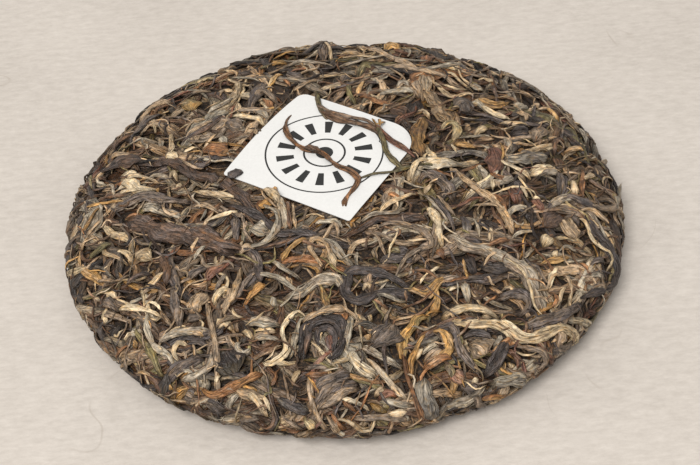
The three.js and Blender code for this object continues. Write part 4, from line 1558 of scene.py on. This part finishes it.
def apply_modifiers(piece: Piece) -> None:
    """Applies a piece's modifiers in order."""
    deselect()
    piece.select_set(True)
    bpy.context.view_layer.objects.active = piece
    for name in [modifier.name for modifier in piece.modifiers]:
        bpy.ops.object.modifier_apply(modifier=name)


def smooth(piece: Piece, degrees: float) -> None:
    """Shades a piece smooth, but for edges sharper than an angle."""
    deselect()
    piece.select_set(True)
    bpy.context.view_layer.objects.active = piece
    bpy.ops.object.shade_smooth_by_angle(angle=math.radians(degrees))


def dress(piece: Piece, material: Material) -> None:
    """Gives a piece its material and its body."""
    piece.data.materials.clear()
    piece.data.materials.append(material)
    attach(piece, ROOT)
    LOG.info("%s: %d faces", piece.name, len(piece.data.polygons))


def pressed_form(name: str, skin: Skin, inset: float, corners: int) -> Piece:
    """Models a smooth disc under the skin: a small round is extruded and resized up the profile.

    Args:
        name: The object's name.
        skin: The skin.
        inset: How far under it the disc stays, in millimetres.
        corners: How many corners a ring has.

    Returns:
        The closed disc.
    """
    table = skin.table
    along = table["along"]
    over, rim, under = np.linspace(2, 96, 22), np.linspace(98, 130, 14), np.linspace(134, along[-1] - 2, 18)
    spots = np.concatenate([over, rim, under])[::-1]
    radius, z = (
        np.interp(spots, along, table[key] - inset * table[out])
        for key, out in (("radius", "out_r"), ("z", "out_z"))
    )
    deselect()
    bpy.ops.mesh.primitive_circle_add(vertices=corners, radius=radius[0] * MM, fill_type="TRIFAN",
                                      location=(0, 0, z[0] * MM))
    disc = bpy.context.object
    disc.name = disc.data.name = name
    bpy.ops.object.transform_apply(location=True, rotation=True, scale=True)
    bpy.ops.object.mode_set(mode="EDIT")
    bpy.ops.mesh.select_all(action="SELECT")
    for i in range(1, len(spots)):
        rise = (0, 0, (z[i] - z[i - 1]) * MM)
        grow = radius[i] / radius[i - 1]
        bpy.ops.mesh.extrude_region_move(TRANSFORM_OT_translate={"value": rise})
        bpy.ops.transform.resize(value=(grow, grow, 1), center_override=(0, 0, 0))
    bpy.ops.mesh.select_all(action="SELECT")
    bpy.ops.mesh.normals_make_consistent(inside=False)
    bpy.ops.object.mode_set(mode="OBJECT")
    return disc


@dataclass
class CakeCore:
    """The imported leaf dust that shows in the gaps, in millimetres."""

    skin: Skin
    inset: float = 3.2
    corners: int = 180
    lump_size: float = 3.0
    lump_height: float = 1.2

    def build(self, material: Material) -> Piece:
        """Models the core and roughens it.

        Args:
            material: The leaf dust.

        Returns:
            The piece.
        """
        core = pressed_form("pressed_core", self.skin, self.inset, self.corners)
        rough = core.modifiers.new("lumps", "DISPLACE")
        rough.texture = clouds("core_lumps", self.lump_size * MM)
        rough.texture_coords = "LOCAL"
        rough.strength = self.lump_height * MM
        rough.mid_level = 0.6
        apply_modifiers(core)
        smooth(core, 60)
        dress(core, material)
        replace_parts(core, CAKE_NODE)
        return core


class Graph:
    """A material's nodes, added one by one."""

    def __init__(self, name: str) -> None:
        """Starts a material with one shader.

        Args:
            name: The material's name.
        """
        self.material = bpy.data.materials.new(name)
        self.material.use_nodes = True
        self.tree = self.material.node_tree
        self.shader = self.tree.nodes["Principled BSDF"]

    def add(self, kind: str, settings: dict[str, object] | None = None, **inputs: object) -> bpy.types.Node:
        """Adds a node.

        Args:
            kind: Its type, without the ShaderNode in front.
            settings: Properties of the node.
            inputs: Its sockets by name with underscores for spaces, each a value or a socket to link.

        Returns:
            The node.
        """
        node = self.tree.nodes.new("ShaderNode" + kind)
        for key, value in (settings or {}).items():
            setattr(node, key, value)
        for key, value in inputs.items():
            self.set(node, key.replace("_", " "), value)
        return node

    def set(self, node: bpy.types.Node, socket: str | int, value: object) -> None:
        """Sets or links one socket of a node."""
        target = node.inputs[socket]
        if isinstance(value, Socket):
            self.tree.links.new(value, target)
        else:
            target.default_value = value

    def math(self, operation: str, *values: object) -> Socket:
        """Adds a calculation and gives its result."""
        node = self.add("Math", {"operation": operation})
        for i, value in enumerate(values):
            self.set(node, i, value)
        return node.outputs[0]

    def times(self, first: object, second: object) -> Socket:
        """Multiplies two values."""
        return self.math("MULTIPLY", first, second)

    def away(self, value: Socket) -> Socket:
        """Gives how far a value is from one half."""
        return self.math("ABSOLUTE", self.math("SUBTRACT", value, 0.5))

    def span(self, value: Socket, old: Pair, new: Pair = (0.0, 1.0)) -> Socket:
        """Maps one range of a value onto another and gives the result."""
        node = self.add("MapRange", Value=value)
        for name, number in zip(("From Min", "From Max", "To Min", "To Max"), (*old, *new)):
            node.inputs[name].default_value = number
        return node.outputs["Result"]

    def mix(self, blend: str, share: object, first: object, second: object) -> Socket:
        """Mixes two colours and gives the result."""
        node = self.add("Mix", {"data_type": "RGBA", "blend_type": blend})
        self.set(node, 0, share)
        self.set(node, 6, first)
        self.set(node, 7, second)
        return node.outputs[2]

    def shaded(self, colour: Socket, light: Socket) -> Socket:
        """Makes a colour lighter or darker by a value."""
        grey = self.add("CombineColor", Red=light, Green=light, Blue=light).outputs[0]
        return self.mix("MULTIPLY", 1.0, colour, grey)

    def place(self) -> Socket:
        """Gives the place on the object."""
        return self.add("TexCoord").outputs["Object"]

    def stretched(self, vector: Socket, scale: Pair) -> Socket:
        """Scales a place by one number along and another across."""
        return self.add("Mapping", Vector=vector, Scale=(*scale, 1)).outputs[0]

    def noise(self, vector: Socket, scale: float, detail: float, rough: float = 0.5) -> Socket:
        """Adds a noise and gives its value."""
        node = self.add("TexNoise", Vector=vector, Scale=scale, Detail=detail, Roughness=rough)
        return node.outputs[0]

    def finish(self, colour: Socket, roughness: object, specular: float, height: Socket, strength: float,
               depth: float) -> Material:
        """Wires up the shader.

        Args:
            colour: Its colour.
            roughness: How rough it is.
            specular: How much it shines.
            height: The height of its relief.
            strength: How much of that relief shows.
            depth: How deep the relief is, in metres.

        Returns:
            The material.
        """
        relief = self.add("Bump", Height=height, Strength=strength, Distance=depth).outputs[0]
        wiring = {
            "Base Color": colour, "Roughness": roughness, "Specular IOR Level": specular, "Normal": relief,
        }
        for socket, value in wiring.items():
            self.set(self.shader, socket, value)
        return self.material


@dataclass(frozen=True)
class LeafFinish:
    """Dried leaf: creases with painted shade, ridges with a painted highlight, fibres and warm flecks along
    the leaf over its own tint.

    The scales are how often a thing repeats along and across a centimetre of leaf.
    """

    name: str = "dried_leaf"
    creases: Pair = (1.1, 4.2)
    crease_width: float = 0.045
    crease_shade: float = 0.45
    ridges: Pair = (0.8, 8.0)
    ridge_width: float = 0.06
    ridge_highlight: float = 1.45
    fibres: Pair = (2.6, 15.0)
    fibre_light: Pair = (0.5, 1.58)
    flecks: Pair = (3.4, 9.0)
    warm: Triple = (1.16, 0.97, 0.7)
    blotches: float = 520.0
    blotch_light: Pair = (0.6, 1.4)
    pale_calm: float = 0.7
    roughness: Pair = (0.58, 0.34)
    specular: float = 0.5
    bump: float = 1.0
    depth: float = 0.0006

    def build(self) -> Material:
        """Builds the material."""
        graph = Graph(self.name)
        grain = graph.add("UVMap", {"uv_map": "Grain"}).outputs[0]
        crease = graph.away(graph.noise(graph.stretched(grain, self.creases), 1.0, 2.0))
        smooth_part = graph.span(crease, (0.0, self.crease_width))
        ridge = graph.away(graph.noise(graph.stretched(grain, self.ridges), 1.0, 1.0))
        ridge = graph.span(ridge, (0.0, self.ridge_width), (1.0, 0.0))
        fibre = graph.noise(graph.stretched(grain, self.fibres), 1.0, 3.0, 0.6)
        fleck = graph.noise(graph.stretched(grain, self.flecks), 1.0, 3.0, 0.6)
        blotch = graph.noise(graph.place(), self.blotches, 3.0, 0.65)

        tint = graph.add("Attribute", {"attribute_name": "Tint"}).outputs["Color"]
        tint = graph.mix("MULTIPLY", graph.span(fleck, (0.5, 0.66)), tint, (*self.warm, 1))
        # Painted light: the creases are painted darker as shade and the ridges lighter as a highlight.
        light = graph.times(graph.span(smooth_part, (0.0, 1.0), (self.crease_shade, 1.08)),
                            graph.span(fibre, (0.32, 0.68), self.fibre_light))
        light = graph.times(light, graph.span(ridge, (0.0, 1.0), (0.94, self.ridge_highlight)))
        pale = graph.span(graph.add("RGBToBW", Color=tint).outputs[0], (0.2, 0.55), (0.0, self.pale_calm))
        light = graph.math("ADD", light, graph.times(pale, graph.math("SUBTRACT", 1.0, light)))
        light = graph.times(light, graph.span(blotch, (0.3, 0.7), self.blotch_light))

        height = graph.times(smooth_part, 0.5)
        for part, share in ((fibre, 0.9), (blotch, 0.9), (ridge, 0.4)):
            height = graph.math("ADD", height, graph.times(part, share))
        colour, roughness = graph.shaded(tint, light), graph.span(fibre, (0.3, 0.7), self.roughness)
        return graph.finish(colour, roughness, self.specular, height, self.bump, self.depth)


@dataclass(frozen=True)
class DustFinish:
    """Packed dark leaf dust."""

    name: str = "leaf_dust"
    dark: Triple = linear(38, 28, 20)
    pale: Triple = linear(120, 92, 62)
    grain: float = 900.0

    def build(self) -> Material:
        """Builds the material."""
        graph = Graph(self.name)
        grit = graph.noise(graph.place(), self.grain, 5.0, 0.7)
        colour = graph.mix("MIX", graph.span(grit, (0.5, 0.75)), (*self.dark, 1), (*self.pale, 1))
        return graph.finish(colour, 0.8, 0.5, grit, 0.8, 0.0008)


@dataclass(frozen=True)
class PaperFinish:
    """Thin white paper with a plain printed pattern in dark ink.

    The rings and the wreath are a radius and half a width, as shares of the ticket's side, and half a bar is
    a share of its part of the wreath.
    """

    name: str = "ticket_paper"
    paper: Triple = linear(226, 225, 222)
    ink: Triple = linear(52, 52, 51)
    bars: int = 14
    half_bar: float = 0.2
    wreath: Pair = (0.27, 0.06)
    outer_ring: Pair = (0.4, 0.006)
    inner_ring: Pair = (0.14, 0.007)
    dot: float = 0.06
    fibres: float = 900.0

    def build(self) -> Material:
        """Builds the material."""
        graph = Graph(self.name)
        ink = self.pattern(graph)
        fibre = graph.noise(graph.place(), self.fibres, 4.0, 0.6)
        colour = graph.mix("MIX", ink, (*self.paper, 1), (*self.ink, 1))
        colour = graph.shaded(colour, graph.span(fibre, (0.3, 0.7), (0.96, 1.02)))
        return graph.finish(colour, 0.85, 0.25, fibre, 0.15, 0.0002)

    def pattern(self, graph: Graph) -> Socket:
        """Draws the print: a wreath of short bars round a dot, between two thin rings.

        Args:
            graph: The material's nodes.

        Returns:
            How much ink there is.
        """
        flat = graph.add("SeparateXYZ", Vector=graph.add("UVMap", {"uv_map": "UVMap"}).outputs[0])
        off_u, off_v = (graph.math("SUBTRACT", flat.outputs[i], 0.5) for i in (0, 1))
        far = graph.math("SQRT", graph.math("ADD", graph.times(off_u, off_u), graph.times(off_v, off_v)))
        turn = graph.math("DIVIDE", graph.math("ARCTAN2", off_v, off_u), 2 * math.pi)
        cell = graph.math("FRACT", graph.times(turn, self.bars))
        ink = graph.times(graph.math("COMPARE", cell, 0.5, self.half_bar),
                          graph.math("COMPARE", far, *self.wreath))
        for ring in (self.outer_ring, self.inner_ring):
            ink = graph.math("MAXIMUM", ink, graph.math("COMPARE", far, *ring))
        return graph.math("MAXIMUM", ink, graph.math("LESS_THAN", far, self.dot))


@dataclass(frozen=True)
class FloorFinish:
    """The pale, faintly mottled sheet that the cake lies on, with a few faint hairs."""

    name: str = "pale_floor"
    pale: Triple = linear(210, 202, 193)
    dim: Triple = linear(191, 183, 174)
    hair: Triple = linear(168, 157, 145)
    weave: Pair = (1.0, 2.6)
    hair_width: float = 0.004
    hair_share: float = 0.45

    def build(self) -> Material:
        """Builds the material."""
        graph = Graph(self.name)
        place = graph.place()
        fine = graph.noise(graph.stretched(place, self.weave), 170.0, 5.0, 0.75)
        mottle = graph.math("ADD", graph.times(fine, 0.7), graph.times(graph.noise(place, 16.0, 2.0), 0.3))
        colour = graph.mix("MIX", graph.span(mottle, (0.36, 0.64)), (*self.pale, 1), (*self.dim, 1))
        line = graph.away(graph.noise(place, 24.0, 1.0))
        here = graph.span(graph.noise(place, 31.0, 1.0), (0.6, 0.68), (0.0, self.hair_share))
        hair = graph.times(graph.span(line, (0.0, self.hair_width), (1.0, 0.0)), here)
        colour = graph.mix("MIX", hair, colour, (*self.hair, 1))
        return graph.finish(colour, 0.95, 0.1, graph.noise(place, 420.0, 4.0), 0.2, 0.0006)


@dataclass
class Studio:
    """The floor, the soft lights and the way the picture is shown, in metres and watts."""

    floor_size: float = 6.0
    floor_place: Triple = (0, 1.2, 0)
    key: float = 62.0
    key_size: float = 1.3
    key_place: Triple = (-0.6, -1.4, 2.15)
    ambient: float = 0.56
    colour: Triple = (1.0, 0.985, 0.965)

    def build(self) -> None:
        """Sets the stage."""
        self.floor()
        self.key_light()
        world = bpy.data.worlds.new("soft_room")
        world.use_nodes = True
        back = world.node_tree.nodes["Background"]
        back.inputs["Color"].default_value = (*self.colour, 1)
        back.inputs["Strength"].default_value = self.ambient
        bpy.context.scene.world = world
        bpy.context.scene.view_settings.view_transform = "Standard"
        bpy.context.scene.view_settings.look = "None"

    def floor(self) -> None:
        """Lays the floor."""
        deselect()
        bpy.ops.mesh.primitive_grid_add(
            x_subdivisions=8, y_subdivisions=8, size=self.floor_size, location=self.floor_place,
        )
        floor = bpy.context.object
        floor.name = floor.data.name = "floor"
        bpy.ops.object.transform_apply(location=True, rotation=True, scale=True)
        floor.data.materials.append(FloorFinish().build())

    def key_light(self) -> None:
        """Hangs the soft square light that faces the cake."""
        data = bpy.data.lights.new("key_light", "AREA")
        data.shape, data.size, data.energy, data.color = "SQUARE", self.key_size, self.key, self.colour
        lamp = bpy.data.objects.new("key_light", data)
        lamp.location = self.key_place
        lamp.rotation_euler = (-Vector(self.key_place)).to_track_quat("-Z", "Y").to_euler()
        bpy.context.scene.collection.objects.link(lamp)


def even_line(points: Array, pitch: float) -> Array:
    """Runs a smooth line through points, with even steps.

    Args:
        points: What it passes through, one row each.
        pitch: About how long a step is.

    Returns:
        The line's points.
    """
    fine_steps = 12
    ends = np.concatenate([[2 * points[0] - points[1]], points, [2 * points[-1] - points[-2]]])
    t = np.linspace(0, 1, fine_steps, endpoint=False)[:, None]
    parts = []
    for i in range(1, len(ends) - 2):
        a, b, c, d = ends[i - 1:i + 3]
        square, cube = (2 * a - 5 * b + 4 * c - d) * t**2, (3 * b - a - 3 * c + d) * t**3
        parts.append(0.5 * (2 * b + (c - a) * t + square + cube))
    fine = np.concatenate([*parts, points[-1:]])
    along = np.r_[0, np.cumsum(np.hypot(*np.diff(fine, axis=0).T))]
    steps = max(4, round(along[-1] / pitch))
    at = np.linspace(0, along[-1], steps + 1)
    return np.stack([np.interp(at, along, fine[:, i]) for i in (0, 1)], axis=1)


def shown_leaf(note: Shown, view: Viewpoint, skin: Skin, on_paper: bool = False) -> Lay:
    """Turns a leaf that stands out into one to be laid.

    Args:
        note: What the photograph shows.
        view: The photograph's camera.
        skin: The cake's skin.
        on_paper: Whether it lies over the ticket.

    Returns:
        The leaf.
    """
    blade_thickness, finer_pitch, rise = 0.9, 0.8, 1.2
    points = np.array([view.on_skin(pixel, skin) for pixel in note.path])
    return Lay(
        kind=note.kind,
        side=Side.TOP,
        line=even_line(points, note.kind.pitch * finer_pitch),
        width=note.width,
        thickness=blade_thickness if note.kind.form is Form.BLADE else note.width * note.flatness,
        tone=note.tone,
        second=note.second,
        blend=note.blend,
        lightness=note.lightness,
        high=note.high,
        rise=rise,
        on_paper=on_paper,
    )


def main() -> None:
    """Builds the cake's pieces in order and reports each."""
    skin = Skin()
    view = Viewpoint()
    view.build()
    Studio().build()
    ticket = Ticket(skin)
    layer = LeafLayer(skin, ticket, np.random.default_rng(SEED))
    dried = LeafFinish().build()
    CakeCore(skin).build(DustFinish().build())
    ticket.build(PaperFinish().build())

    names = ("under_leaves", "bed_leaves", *OWN_PIECE.values(), *SHOWN_LEAVES, "leaves_over_ticket")
    piles = {name: LeafMesh(name) for name in names}
    for strewn in FIRST_LEAVES:
        layer.scatter(strewn, piles)
    for name, notes in SHOWN_LEAVES.items():
        for note in notes:
            layer.lay(shown_leaf(note, view, skin), piles[name])
    for strewn in LAST_LEAVES:
        layer.scatter(strewn, piles)
    layer.lay_ticket()
    for note in OVER_TICKET:
        layer.lay(shown_leaf(note, view, skin, on_paper=True), piles["leaves_over_ticket"])
    for pile in piles.values():
        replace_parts(pile.build(dried, "leaves"), CAKE_NODE)
    loose = LeafMesh("loose_strand")
    for note in LOOSE_STRAND:
        layer.lay(shown_leaf(note, view, skin, on_paper=True), loose)
    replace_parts(loose.build(dried, "loose_leaf"), LOOSE_NODE)


if __name__ == "__main__":
    main()
